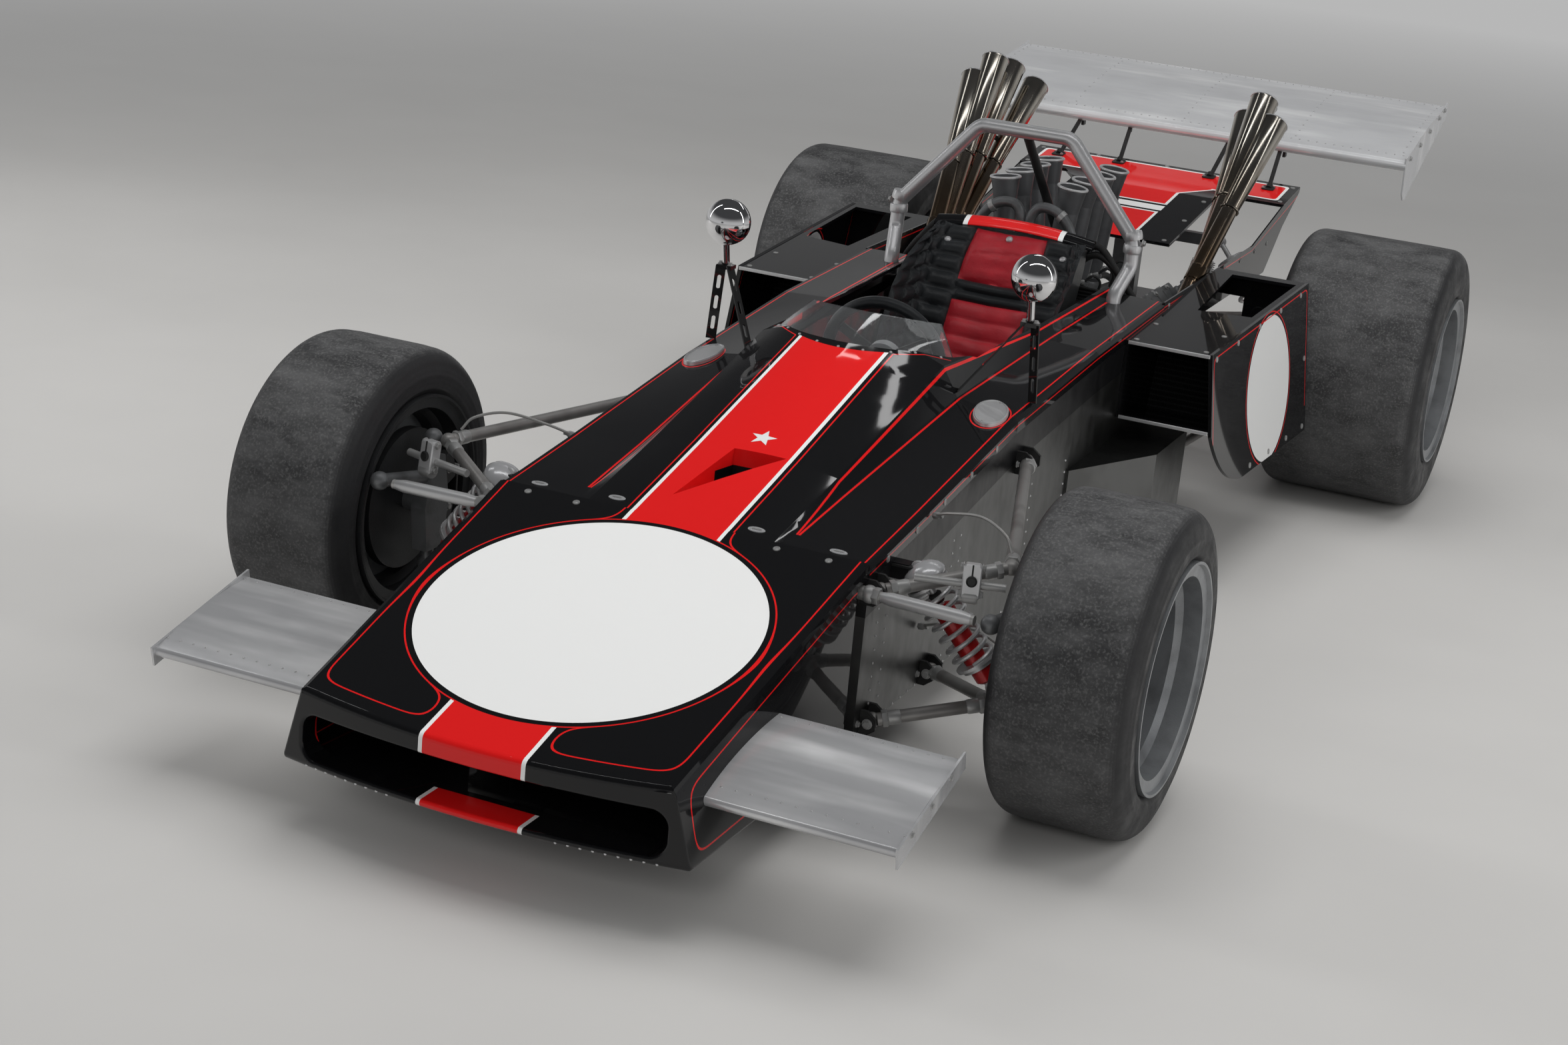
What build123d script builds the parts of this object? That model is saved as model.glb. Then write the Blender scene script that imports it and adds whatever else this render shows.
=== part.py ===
from build123d import *
import os
from math import atan2, cos, radians, sin, tan

# Single-seat open wheel racing car. Millimetres, +X to the car's left, nose
# towards -Y, +Z up, ground at Z 0 and the origin under the middle of the car.

# Running gear
WHEELBASE = 2448.0
FRONT_AXLE_Y = -1303.0
REAR_AXLE_Y = FRONT_AXLE_Y + WHEELBASE
RIM_SEAT_R = 191.0
RIM_LIP_R = 211.0
RIM_WALL = 8.0
LIP_WIDTH = 14.0
TYRE_SHOULDER = 34.0
TYRE_BULGE = 5.0
SEAT_GAP = 0.3
FRONT_TYRE_R = 300.0
FRONT_TRACK = 1532.0
FRONT_TREAD = 250.0
REAR_TYRE_R = 334.0
REAR_TRACK = 1415.0
REAR_TREAD = 392.0
HUB_BORE_R = 22.0
SPINDLE_CLEARANCE = 0.05
DISC_R = 140.0
DISC_THICK = 20.0
NUT_R = 32.0

# Wedge nose
NOSE_Y = -2180.0
NOSE_REAR_Y = -1465.0
WEDGE_SLOPE = tan(radians(15.2))
WEDGE_Z_AT_NOSE = 246.0
NOSE_HALF_FRONT = 341.0
NOSE_HALF_REAR = 372.0
NOSE_HALF_LOWER = 378.0
NOSE_FLOOR_Z = 96.0
NOSE_CHIN_Z = 118.0
NOSE_BOW = 42.0
NOSE_RING = 36.0
NOSE_SKIN = 8.0
MOUTH_HALF = 334.0
MOUTH_LOW = 132.0
MOUTH_HIGH = 212.0
MOUTH_ROUND = 30.0
LIP_ROUND = 12.0

# Body and tub
BODY_HALF = 376.0
SKIN = 6.0
PANEL_GAP = 0.3
TUB_WALL = 62.0
TUB_FLOOR_Z = 84.0
TUB_FLOOR_THICK = 12.0
BULKHEAD_THICK = 40.0
TUB_CORNER = 26.0
TUB_REAR_Y = 300.0
EDGE_BAND = 30.0
EDGE_SOFT = 7.0
COCKPIT_FRONT_Y = -757.0
COCKPIT_SHOULDER = (193.0, -628.0)
COCKPIT_HALF = 214.0
PONTOON_HALF = 500.0
PONTOON_TOP_Z = 338.0
PONTOON_FRONT_Y = -330.0
PONTOON_REAR_Y = 180.0

# Body sections, one row a station:
# y, crest z, hump half width, hump edge z, shoulder x, shoulder z, edge x, edge z
BODY_SECTIONS = (
    (NOSE_REAR_Y, 440.0, 186.0, 439.0, 204.0, 438.0, 372.0, 434.0),
    (-1200.0, 511.0, 190.0, 494.0, 215.0, 476.0, 371.0, 466.0),
    (-700.0, 650.0, 200.0, 610.0, 236.0, 552.0, 369.0, 533.0),
    (-200.0, 640.0, 228.0, 596.0, 252.0, 580.0, BODY_HALF, 574.0),
    (TUB_REAR_Y, 634.0, 240.0, 606.0, 262.0, 596.0, BODY_HALF, 594.0),
)

# Engine, gearbox and exhausts
ENGINE_FRONT_Y = 315.0
ENGINE_LENGTH = 540.0
BORE_PITCH = 112.0
FIRST_BORE_Y = 420.0
STACK_R = 27.0
STACK_WALL = 2.5
STACK_TOP_Z = 800.0
PIPE_R = 21.0
GEARBOX_REAR_Y = 1480.0

# Wings
FRONT_WING_TIP_X = 690.0
FRONT_WING_LE_Y = -2060.0
FRONT_WING_CHORD = 268.0
REAR_WING_HALF = 640.0
REAR_WING_CHORD = 525.0
REAR_WING_TE = (2176.0, 885.0)
REAR_WING_ANGLE = 11.5

# Side pods
POD_FRONT_Y = 0.0
POD_REAR_Y = 770.0
POD_WALL = 8.0
POD_INNER_X = BODY_HALF + PANEL_GAP
POD_FRONT_X = 575.0
POD_TOP_Z = 565.0
POD_SPLAY = 0.045
POD_FLARE = 0.13
POD_RISE = 36.0

# Steering
RACK_Y = -1484.0
RACK_Z = 392.0
RACK_HALF = 400.0
RACK_R = 13.0
KINGPIN_INSET = 156.0
KINGPIN_X = FRONT_TRACK / 2 - KINGPIN_INSET
BALL_R = 18.0
BALL_DROP = 124.0
BALL_RISE = 134.0
EYE_R = 15.0
COVER_THICK = 6.0
COIL_EYE_R = 14.0
COIL_TOP_X = 418.0
COIL_TOP_Y = -1343.0
COIL_TOP_Z = 408.0
REAR_COIL_TOP_X = 250.0
REAR_COIL_TOP_Y = REAR_AXLE_Y + 150
REAR_COIL_TOP_Z = 560.0
UPRIGHT_HALF = 60.0
RADIUS_ROD_FOOT = (-662.0, 440.0)


def rod(start, end, radius, bore=0.0):
    """A straight round bar, or a tube when it has a bore."""
    run = Vector(*end) - Vector(*start)
    with BuildPart() as piece:
        with BuildSketch(Plane(origin=start, z_dir=run)):
            Circle(radius)
            if bore:
                Circle(bore, mode=Mode.SUBTRACT)
        extrude(amount=run.length)
    return piece.part


def bent_tube(points, radius, bend, bore=0.0):
    """A round tube along straight runs joined by arcs, of one radius or one a corner."""
    with BuildPart() as piece:
        with BuildLine() as path:
            FilletPolyline(*points, radius=bend)
        route = path.wire()
        with BuildSketch(Plane(origin=route @ 0, z_dir=route % 0)):
            Circle(radius)
            if bore:
                Circle(bore, mode=Mode.SUBTRACT)
        sweep(path=route)
    return piece.part


def elbowed(points, radius):
    """Straight round bars with a ball at each corner between them."""
    points = [Vector(*point) for point in points]
    bars = [rod(start, end, radius) for start, end in zip(points, points[1:])]
    return joined([*bars, *[ball(point, radius) for point in points[1:-1]]])


def plate(outline, plane, thick, both=False):
    """A flat plate with straight edges, raised from a plane."""
    with BuildPart() as piece:
        with BuildSketch(plane):
            with BuildLine():
                Polyline(*outline, close=True)
            make_face()
        extrude(amount=thick, both=both)
    return piece.part


def ball(centre, radius):
    """A rod end or joint boss."""
    with BuildPart() as piece:
        with Locations(centre):
            Sphere(radius)
    return piece.part


def joined(pieces):
    """Several overlapping solids as one."""
    with BuildPart() as whole:
        for piece in pieces:
            add(piece)
    return whole.part


def both_sides(part):
    """The piece and its mirror image across the car's middle."""
    with BuildPart() as pair:
        add(part)
        add(part.mirror(Plane.YZ))
    return pair.part


def save(part, name):
    """Names a finished piece and writes it."""
    part.label = name
    export_step(part, f"parts/{name}.step")


os.makedirs("parts", exist_ok=True)


def wedge_z(y):
    """Height of the flat wedge top at a station."""
    return WEDGE_Z_AT_NOSE + (y - NOSE_Y) * WEDGE_SLOPE


# Wheels and tyres, made on the X axis and moved to their corners
def tyre_solid(radius, tread, rim_half):
    """A slick: flat crown, round shoulders, walls that pull in to the beads."""
    half = tread / 2
    bead = rim_half - LIP_WIDTH
    foot_r = RIM_SEAT_R + SEAT_GAP
    wall_r = RIM_LIP_R + 8
    with BuildPart() as piece:
        with BuildSketch(Plane.XY):
            with BuildLine():
                right = [
                    (bead - 14, foot_r),
                    (bead - 1, foot_r),
                    (bead - 1, RIM_LIP_R - 2),
                    (half + TYRE_BULGE - 3, wall_r),
                ]
                Polyline(*right)
                ThreePointArc(
                    right[-1],
                    (half + TYRE_BULGE, (wall_r + radius - TYRE_SHOULDER) / 2),
                    (half, radius - TYRE_SHOULDER),
                )
                ThreePointArc(
                    (half, radius - TYRE_SHOULDER),
                    (half - TYRE_SHOULDER * 0.36, radius - TYRE_SHOULDER * 0.33),
                    (half - TYRE_SHOULDER * 1.15, radius - 2),
                )
                Line((half - TYRE_SHOULDER * 1.15, radius - 2), (0, radius))
                Line((0, radius), (0, radius - 16))
                Polyline(
                    (0, radius - 16),
                    (half - 22, radius - 20),
                    (half - 12, wall_r + 8),
                    (bead - 14, foot_r),
                )
            make_face()
            mirror(about=Plane.YZ)
        revolve(axis=Axis.X)
    return piece.part


def wheel_solid(rim_half, spider_x, brake=0.0):
    """A deep-dish rim with its centre, nut and brake disc, outer face at +X."""
    lip_in = rim_half - LIP_WIDTH
    with BuildPart() as piece:
        with BuildSketch(Plane.XY):
            with BuildLine():
                Polyline(
                    (-rim_half, RIM_LIP_R), (-lip_in - 1, RIM_LIP_R), (-lip_in, RIM_SEAT_R),
                    (-lip_in + 34, RIM_SEAT_R - 2), (-lip_in + 46, RIM_SEAT_R - 14),
                    (lip_in - 46, RIM_SEAT_R - 14), (lip_in - 34, RIM_SEAT_R - 2),
                    (lip_in, RIM_SEAT_R), (lip_in + 1, RIM_LIP_R), (rim_half, RIM_LIP_R),
                    (rim_half, RIM_LIP_R - 5), (lip_in + 7, RIM_LIP_R - 8),
                    (lip_in + 4, RIM_SEAT_R - RIM_WALL), (lip_in - 30, RIM_SEAT_R - 2 - RIM_WALL),
                    (lip_in - 42, RIM_SEAT_R - 14 - RIM_WALL),
                    (-lip_in + 42, RIM_SEAT_R - 14 - RIM_WALL),
                    (-lip_in + 30, RIM_SEAT_R - 2 - RIM_WALL),
                    (-lip_in - 4, RIM_SEAT_R - RIM_WALL), (-lip_in - 7, RIM_LIP_R - 8),
                    (-rim_half, RIM_LIP_R - 5), close=True,
                )
            make_face()
        revolve(axis=Axis.X)
        with BuildSketch(Plane.XY):
            with BuildLine():
                Polyline(
                    (spider_x - 6, RIM_SEAT_R - 18), (spider_x + 6, RIM_SEAT_R - 18),
                    (spider_x + 26, 96), (spider_x + 34, 62), (spider_x + 40, HUB_BORE_R),
                    (spider_x - 30, HUB_BORE_R), (spider_x - 30, 58), (spider_x + 12, 70),
                    close=True,
                )
            make_face()
        revolve(axis=Axis.X)
        with Locations(Plane(origin=(spider_x + 10, 0, 0), z_dir=(1, 0, 0))):
            with PolarLocations(125, 8):
                Cylinder(18, 120, mode=Mode.SUBTRACT)
        with BuildSketch(Plane(origin=(spider_x + 34, 0, 0), z_dir=(1, 0, 0))):
            RegularPolygon(NUT_R, 6)
        extrude(amount=34)
        if brake:
            with BuildSketch(Plane(origin=(brake, 0, 0), z_dir=(1, 0, 0))):
                Circle(DISC_R)
                Circle(HUB_BORE_R, mode=Mode.SUBTRACT)
            extrude(amount=DISC_THICK)
            with BuildSketch(Plane(origin=(brake + DISC_THICK, 0, 0), z_dir=(1, 0, 0))):
                Circle(58)
                Circle(HUB_BORE_R, mode=Mode.SUBTRACT)
            extrude(until=Until.NEXT)
    return piece.part


# Wheel corners: name, side, axle y, track, tyre radius, tread, spider x, disc x
CORNERS = (
    ("front_left", 1, FRONT_AXLE_Y, FRONT_TRACK, FRONT_TYRE_R, FRONT_TREAD, -42.0, -106.0),
    ("front_right", -1, FRONT_AXLE_Y, FRONT_TRACK, FRONT_TYRE_R, FRONT_TREAD, -42.0, -106.0),
    ("rear_left", 1, REAR_AXLE_Y, REAR_TRACK, REAR_TYRE_R, REAR_TREAD, -60.0, 0.0),
    ("rear_right", -1, REAR_AXLE_Y, REAR_TRACK, REAR_TYRE_R, REAR_TREAD, -60.0, 0.0),
)
for name, side, axle_y, track, tyre_r, tread, spider_x, disc_x in CORNERS:
    rim_half = tread / 2 + 8
    place = Location((side * track / 2, axle_y, tyre_r))
    tyre = tyre_solid(tyre_r, tread, rim_half)
    wheel = wheel_solid(rim_half, spider_x, disc_x)
    if side < 0:
        tyre = tyre.mirror(Plane.YZ)
        wheel = wheel.mirror(Plane.YZ)
    save(tyre.moved(place), f"tyre_{name}")
    save(wheel.moved(place), f"wheel_{name}")


# Front knuckles: spindle, upright and steering arm
def knuckle_left():
    """The left front upright with its spindle."""
    hub_x = FRONT_TRACK / 2
    z = FRONT_TYRE_R
    y = FRONT_AXLE_Y
    tip = hub_x - 42 + 30
    spindle = rod((KINGPIN_X + 6, y, z), (tip, y, z), HUB_BORE_R - SPINDLE_CLEARANCE)
    post = plate(
        [(y - 30, z - 90), (y + 30, z - 90), (y + 44, z), (y + 22, z + 98), (y - 22, z + 98),
         (y - 44, z)],
        Plane.YZ.offset(KINGPIN_X - 16), 32,
    )
    arm = rod((KINGPIN_X, y - 20, z + 60), (KINGPIN_X, RACK_Y - 8, RACK_Z), 13)
    eye = ball((KINGPIN_X, RACK_Y - 8, RACK_Z), 18)
    stud = rod((KINGPIN_X, y, z - BALL_DROP), (KINGPIN_X, y, z + BALL_RISE), 12)
    lower = ball((KINGPIN_X, y, z - BALL_DROP), BALL_R)
    upper = ball((KINGPIN_X, y, z + BALL_RISE), BALL_R)
    return joined([spindle, post, arm, eye, stud, lower, upper])


left_knuckle = knuckle_left()
save(left_knuckle, "knuckle_left")
save(left_knuckle.mirror(Plane.YZ), "knuckle_right")


# Body shell sections
def station(y):
    """The body section row at any y, between the two stations beside it."""
    rows = BODY_SECTIONS
    for low, high in zip(rows, rows[1:]):
        if y <= high[0] or high is rows[-1]:
            share = (y - low[0]) / (high[0] - low[0])
            return tuple(a + (b - a) * share for a, b in zip(low, high))


def side_x(y):
    """Half width of the body's side at a station."""
    return station(y)[6]


def shoulder_top(x, y):
    """Height of the flat shoulder beside the hump."""
    row = station(y)
    share = (abs(x) - row[4]) / (row[6] - row[4])
    return row[5] + (row[7] - row[5]) * share


def body_section(row, inset=0.0, drop=0.0):
    """Half outline points of a body section, from the band's foot to the crest."""
    y, crest, hump_x, hump_z, shoulder_x, shoulder_z, edge_x, edge_z = row
    foot = edge_z - EDGE_BAND - drop
    return (
        (edge_x - inset, foot), (edge_x - inset, edge_z - inset - EDGE_SOFT),
        (edge_x - inset - EDGE_SOFT, edge_z - inset), (shoulder_x - inset, shoulder_z - inset),
        (hump_x - inset, hump_z - inset), (0, crest - inset),
    )


def body_loft(rows, inset=0.0, drop=0.0):
    """A closed body between stations, its hump an arc, with flat shoulders."""
    with BuildPart() as shell:
        for row in rows:
            *outline, hump, crest = body_section(row, inset, drop)
            with BuildSketch(Plane(origin=(0, row[0], 0), x_dir=(1, 0, 0), z_dir=(0, -1, 0))):
                with BuildLine():
                    far = [(-x, z) for x, z in reversed([*outline, hump])]
                    Polyline(*far, *outline, hump)
                    ThreePointArc(hump, crest, (-hump[0], hump[1]))
                make_face()
        loft(ruled=True)
    return shell.part


def cockpit_cut(inset=0.0):
    """The opening over the driver, round at the front."""
    with BuildPart() as cut:
        with BuildSketch(Plane.XY.offset(380)):
            with BuildLine():
                corner_x, corner_y = COCKPIT_SHOULDER
                rear_half = COCKPIT_HALF + 18
                Polyline(
                    COCKPIT_SHOULDER, (COCKPIT_HALF, corner_y + 90), (rear_half, TUB_REAR_Y + 10),
                    (-rear_half, TUB_REAR_Y + 10), (-COCKPIT_HALF, corner_y + 90), (-corner_x, corner_y),
                )
                ThreePointArc((-corner_x, corner_y), (0, COCKPIT_FRONT_Y), COCKPIT_SHOULDER)
            make_face()
            if inset:
                offset(amount=-inset, mode=Mode.REPLACE)
        extrude(amount=400)
    return cut.part


# Roll hoop, standing on the tub's rear bulkhead
HOOP_R = 17.0
BRACE_R = 11.0
tub_top_z = BODY_SECTIONS[-1][7] - EDGE_BAND
HOOP = ((276, 212, tub_top_z + SEAT_GAP), (276, 216, tub_top_z + 44), (292, 266, 668), (290, 268, 730),
        (112, 274, 938))


def hoop_tube(radius):
    """The hoop's tube, or the hole it needs in the cowl."""
    return bent_tube([*HOOP, *[(-x, y, z) for x, y, z in reversed(HOOP)]], radius, 40)


save(hoop_tube(HOOP_R), "roll_hoop")

# Three-cornered duct in the scuttle, sunk level from its tip
DUCT_TIP = (-52.0, -1392.0)
DUCT_MOUTH = ((-20.0, -1203.0), (84.0, -1196.0))
DUCT_WALL = 5.0


def duct_prism(grow, floor_z):
    """The duct's three-cornered form in plan, raised from a level."""
    left, right = DUCT_MOUTH
    with BuildPart() as prism:
        with BuildSketch(Plane.XY.offset(floor_z)):
            with BuildLine():
                Polyline((DUCT_TIP[0] - grow, DUCT_TIP[1] - 2 * grow), (right[0] + grow, right[1] + grow),
                         (left[0] - grow, left[1] + grow), close=True)
            make_face()
        extrude(amount=120)
    return prism.part


duct_z = station(DUCT_TIP[1])[1] - 2
with BuildPart() as duct_shell:
    add(duct_prism(DUCT_WALL, duct_z - DUCT_WALL))
    add(body_loft(BODY_SECTIONS), mode=Mode.INTERSECT)

with BuildPart() as cockpit_cowl:
    add(body_loft(BODY_SECTIONS))
    add(body_loft(BODY_SECTIONS, SKIN, SKIN), mode=Mode.SUBTRACT)
    add(duct_shell.part)
    add(duct_prism(0, duct_z), mode=Mode.SUBTRACT)
    add(cockpit_cut(), mode=Mode.SUBTRACT)
    add(hoop_tube(HOOP_R + 1), mode=Mode.SUBTRACT)
save(cockpit_cowl.part, "cockpit_cowl")


# Nose cowl: hollow wedge behind a bowed front with a full-width mouth
def nose_loft(inset, front_y=NOSE_Y):
    """The wedge's outer form, or its inside when inset."""
    with BuildPart() as body:
        for y in (front_y, NOSE_REAR_Y):
            share = (y - NOSE_Y) / (NOSE_REAR_Y - NOSE_Y)
            half = NOSE_HALF_FRONT + (NOSE_HALF_REAR - NOSE_HALF_FRONT) * share - inset
            low_half = NOSE_HALF_LOWER + (NOSE_HALF_REAR - NOSE_HALF_LOWER) * share - inset
            low = NOSE_CHIN_Z + (NOSE_FLOOR_Z - NOSE_CHIN_Z) * share + inset
            top = wedge_z(y) - inset
            with BuildSketch(Plane(origin=(0, y, 0), x_dir=(1, 0, 0), z_dir=(0, -1, 0))):
                with BuildLine():
                    side = [(low_half, low), (half, top - 10), (half - 3, top - 3), (half - 10, top)]
                    Polyline(*side, *[(-x, z) for x, z in reversed(side)], close=True)
                make_face()
        loft(ruled=True)
    return body.part


with BuildPart() as nose_cowl:
    add(nose_loft(0))
    with BuildSketch(Plane.XY):
        with BuildLine():
            corner = (NOSE_HALF_LOWER + 2, NOSE_Y + NOSE_BOW)
            Polyline(corner, (corner[0], NOSE_REAR_Y), (-corner[0], NOSE_REAR_Y), (-corner[0], corner[1]))
            ThreePointArc((-corner[0], corner[1]), (0, NOSE_Y), corner)
        make_face()
    extrude(amount=600, mode=Mode.INTERSECT)
    brow = [edge for edge in nose_cowl.edges() if edge.center().Y < NOSE_Y + NOSE_BOW / 2]
    fillet(brow, LIP_ROUND)
    add(nose_loft(NOSE_SKIN, NOSE_Y + NOSE_BOW + NOSE_RING), mode=Mode.SUBTRACT)
    with BuildSketch(Plane(origin=(0, NOSE_Y - 10, 0), x_dir=(1, 0, 0), z_dir=(0, -1, 0))):
        with Locations((0, (MOUTH_LOW + MOUTH_HIGH) / 2)):
            RectangleRounded(2 * MOUTH_HALF, MOUTH_HIGH - MOUTH_LOW, MOUTH_ROUND)
    extrude(amount=-(NOSE_BOW + NOSE_RING + 40), mode=Mode.SUBTRACT)
    lips = [edge for edge in nose_cowl.edges()
            if edge.center().Y < NOSE_Y + NOSE_BOW and MOUTH_LOW - 1 < edge.center().Z < MOUTH_HIGH + 1]
    fillet(lips, LIP_ROUND / 2)
    with BuildSketch(Plane(origin=(0, NOSE_REAR_Y, 0), x_dir=(1, 0, 0), z_dir=(0, -1, 0))):
        with Locations((0, (wedge_z(NOSE_REAR_Y) + NOSE_FLOOR_Z) / 2)):
            Rectangle(2 * NOSE_HALF_REAR - 2 * NOSE_SKIN - 30, wedge_z(NOSE_REAR_Y) - NOSE_FLOOR_Z - 50)
    extrude(amount=20, both=True, mode=Mode.SUBTRACT)
    with Locations((0, NOSE_REAR_Y + 1, wedge_z(NOSE_REAR_Y) - 250)):
        Box(900, 96, 440, mode=Mode.SUBTRACT)
save(nose_cowl.part, "nose_cowl")


# Tub: riveted box with a well for the driver and a pontoon each side
def tub_section(row, inset, floor):
    """Corner points of the tub, its top lying under the cowl's band."""
    y, edge_x, edge_z = row[0], row[6], row[7]
    top = edge_z - EDGE_BAND - PANEL_GAP
    low_x = edge_x - TUB_CORNER
    return ((-low_x + inset, floor), (low_x - inset, floor),
            (edge_x - inset, floor + TUB_CORNER), (edge_x - inset, top),
            (-edge_x + inset, top), (-edge_x + inset, floor + TUB_CORNER))


with BuildPart() as tub:
    for row in BODY_SECTIONS:
        with BuildSketch(Plane(origin=(0, row[0], 0), x_dir=(1, 0, 0), z_dir=(0, -1, 0))):
            with BuildLine():
                Polyline(*tub_section(row, 0, TUB_FLOOR_Z), close=True)
            make_face()
    loft(ruled=True)
    with BuildSketch(Plane.XY.offset(TUB_FLOOR_Z + TUB_FLOOR_THICK)):
        well_front = NOSE_REAR_Y + BULKHEAD_THICK
        well_rear = TUB_REAR_Y - BULKHEAD_THICK
        with Locations((0, (well_front + well_rear) / 2)):
            Rectangle(2 * (BODY_SECTIONS[0][6] - TUB_WALL - 46), well_rear - well_front)
    extrude(amount=600, mode=Mode.SUBTRACT)
    for side in (1, -1):
        with BuildSketch(Plane.XY.offset(TUB_FLOOR_Z + 6)):
            with BuildLine():
                inner = side * (BODY_SECTIONS[-1][6] - 40)
                Polyline((inner, PONTOON_FRONT_Y), (side * 380, PONTOON_FRONT_Y),
                         (side * PONTOON_HALF, PONTOON_FRONT_Y + 260),
                         (side * PONTOON_HALF, PONTOON_REAR_Y), (inner, PONTOON_REAR_Y), close=True)
            make_face()
        extrude(amount=PONTOON_TOP_Z - TUB_FLOOR_Z - 6)
    for side in (1, -1):
        inner = side_x(COIL_TOP_Y) - 6
        outer = COIL_TOP_X - COIL_EYE_R - SEAT_GAP
        with Locations((side * (inner + outer) / 2, COIL_TOP_Y, COIL_TOP_Z - 8)):
            Box(outer - inner, 28, 30)
        with Locations(Plane(origin=(side * 240, RACK_Y, RACK_Z), z_dir=(1, 0, 0))):
            Cylinder(RACK_R + 6.5, 60)
            Cylinder(RACK_R + SPINDLE_CLEARANCE, 60, mode=Mode.SUBTRACT)
save(tub.part, "tub")


# Windscreen: a low raked sheet that carries the scuttle's line over the cockpit's front
SCREEN_BASE = ((199.0, -632.0, 603.0), (0.0, -766.0, 629.0))
SCREEN_TOP = ((144.0, -580.0, 664.0), (0.0, -622.0, 671.0))
SCREEN_THICK = 3.5


def screen_strip(end, middle):
    """One edge of the screen: a thin bowed strip from side to side."""
    rise = Vector(0, end[1] - middle[1], end[2] - middle[2])
    plane = Plane(origin=middle, x_dir=(1, 0, 0), z_dir=Vector(1, 0, 0).cross(rise))
    deep = rise.length
    with BuildSketch(plane) as strip:
        with BuildLine():
            ThreePointArc((-end[0], deep), (0, 0), (end[0], deep))
            Line((end[0], deep), (end[0] - SCREEN_THICK, deep))
            ThreePointArc((end[0] - SCREEN_THICK, deep), (0, SCREEN_THICK), (SCREEN_THICK - end[0], deep))
            Line((SCREEN_THICK - end[0], deep), (-end[0], deep))
        make_face()
    return strip.sketch.face()


with BuildPart() as cowl_rim:
    add(body_loft(BODY_SECTIONS, -SEAT_GAP))
    add(cockpit_cut(SEAT_GAP), mode=Mode.SUBTRACT)

with BuildPart() as windscreen:
    loft([screen_strip(*SCREEN_BASE), screen_strip(*SCREEN_TOP)], ruled=True)
    add(cowl_rim.part, mode=Mode.SUBTRACT)
save(windscreen.part, "windscreen")


# Seat pad: reclined back and short base in one plain piece
SEAT_BASE_Z = TUB_FLOOR_Z + TUB_FLOOR_THICK + SEAT_GAP
with BuildPart() as seat:
    with BuildSketch(Plane.YZ):
        with BuildLine():
            Polyline((-420, 150), (-380, 205), (-60, 190), (60, 400), (215, 660), (262, 712), (290, 700),
                     (275, 640), (150, 400), (40, SEAT_BASE_Z), (-400, SEAT_BASE_Z), close=True)
        make_face()
    extrude(amount=190, both=True)
save(seat.part, "seat")


# Steering column, wheel and rack
COLUMN_TOP = (0.0, -520.0, 545.0)
COLUMN_FOOT = (0.0, NOSE_REAR_Y + BULKHEAD_THICK + SEAT_GAP + 2, 379.8)
DASH_HALF = BODY_SECTIONS[0][6] - TUB_WALL - 46 - SEAT_GAP
with BuildPart() as steering_column:
    add(rod(COLUMN_FOOT, COLUMN_TOP, 11))
    with BuildSketch(Plane(origin=(0, -700, 494), x_dir=(1, 0, 0), z_dir=(0, -1, 0))):
        Rectangle(2 * DASH_HALF, 84)
        with Locations((-80, 0), (0, 8), (80, 0)):
            Circle(26, mode=Mode.SUBTRACT)
    extrude(amount=3)
save(steering_column.part, "dashboard")

column_run = Vector(*COLUMN_TOP) - Vector(*COLUMN_FOOT)
wheel_plane = Plane(origin=Vector(*COLUMN_TOP) + column_run.normalized() * 11.3, x_dir=(1, 0, 0), z_dir=column_run)
with BuildPart() as steering_wheel:
    with Locations(wheel_plane):
        Torus(128, 12)
        Cylinder(26, 22)
    for angle in (0, 120, 240):
        spoke_angle = radians(angle + 90)
        with BuildSketch(wheel_plane.offset(-2)):
            with Locations(Location((68 * cos(spoke_angle), 68 * sin(spoke_angle)), angle + 90)):
                Rectangle(120, 22)
        extrude(amount=4)
save(steering_wheel.part, "steering_wheel")

with BuildPart() as steering_rack:
    with Locations(Plane(origin=(0, RACK_Y, RACK_Z), z_dir=(1, 0, 0))):
        Cylinder(RACK_R, 2 * RACK_HALF)
    for side in (1, -1):
        add(rod((side * RACK_HALF, RACK_Y, RACK_Z), (side * (KINGPIN_X - 30), RACK_Y - 8, RACK_Z), 9))
save(steering_rack.part, "steering_rack")


# Brace from the hoop's top, between the intake rows, to the bell housing
brace_line = Vector(0, 884, 424.3) - Vector(0, *HOOP[-1][1:])
brace_start = Vector(0, *HOOP[-1][1:]) + brace_line.normalized() * (HOOP_R + SEAT_GAP)
save(joined([rod(brace_start, (0, 884, 424.3), BRACE_R), ball((0, 884, 424.3), BRACE_R)]), "hoop_brace")


# Mirrors on two drilled strips each
MIRROR = Vector(338.0, -608.0, 800.0)
MIRROR_R = 48.0
MIRROR_DEPTH = 44.0
MIRROR_RIM = 10.0
STALK_TOP = Vector(338.0, -602.0, 704.0)
STRIP_WIDE = 22.0
STRIP_THICK = 3.0


def strip(start, end, facing):
    """A flat drilled strip between two points, its face turned one way."""
    run = end - start
    plane = Plane(origin=start, x_dir=run, z_dir=run.cross(facing).cross(run))
    with BuildPart() as piece:
        with BuildSketch(plane):
            with Locations((run.length / 2, 0)):
                Rectangle(run.length, STRIP_WIDE)
            with Locations(*[(run.length * share, 0) for share in (0.22, 0.5, 0.78)]):
                SlotOverall(30, 8, mode=Mode.SUBTRACT)
        extrude(amount=STRIP_THICK)
    return piece.part


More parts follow.
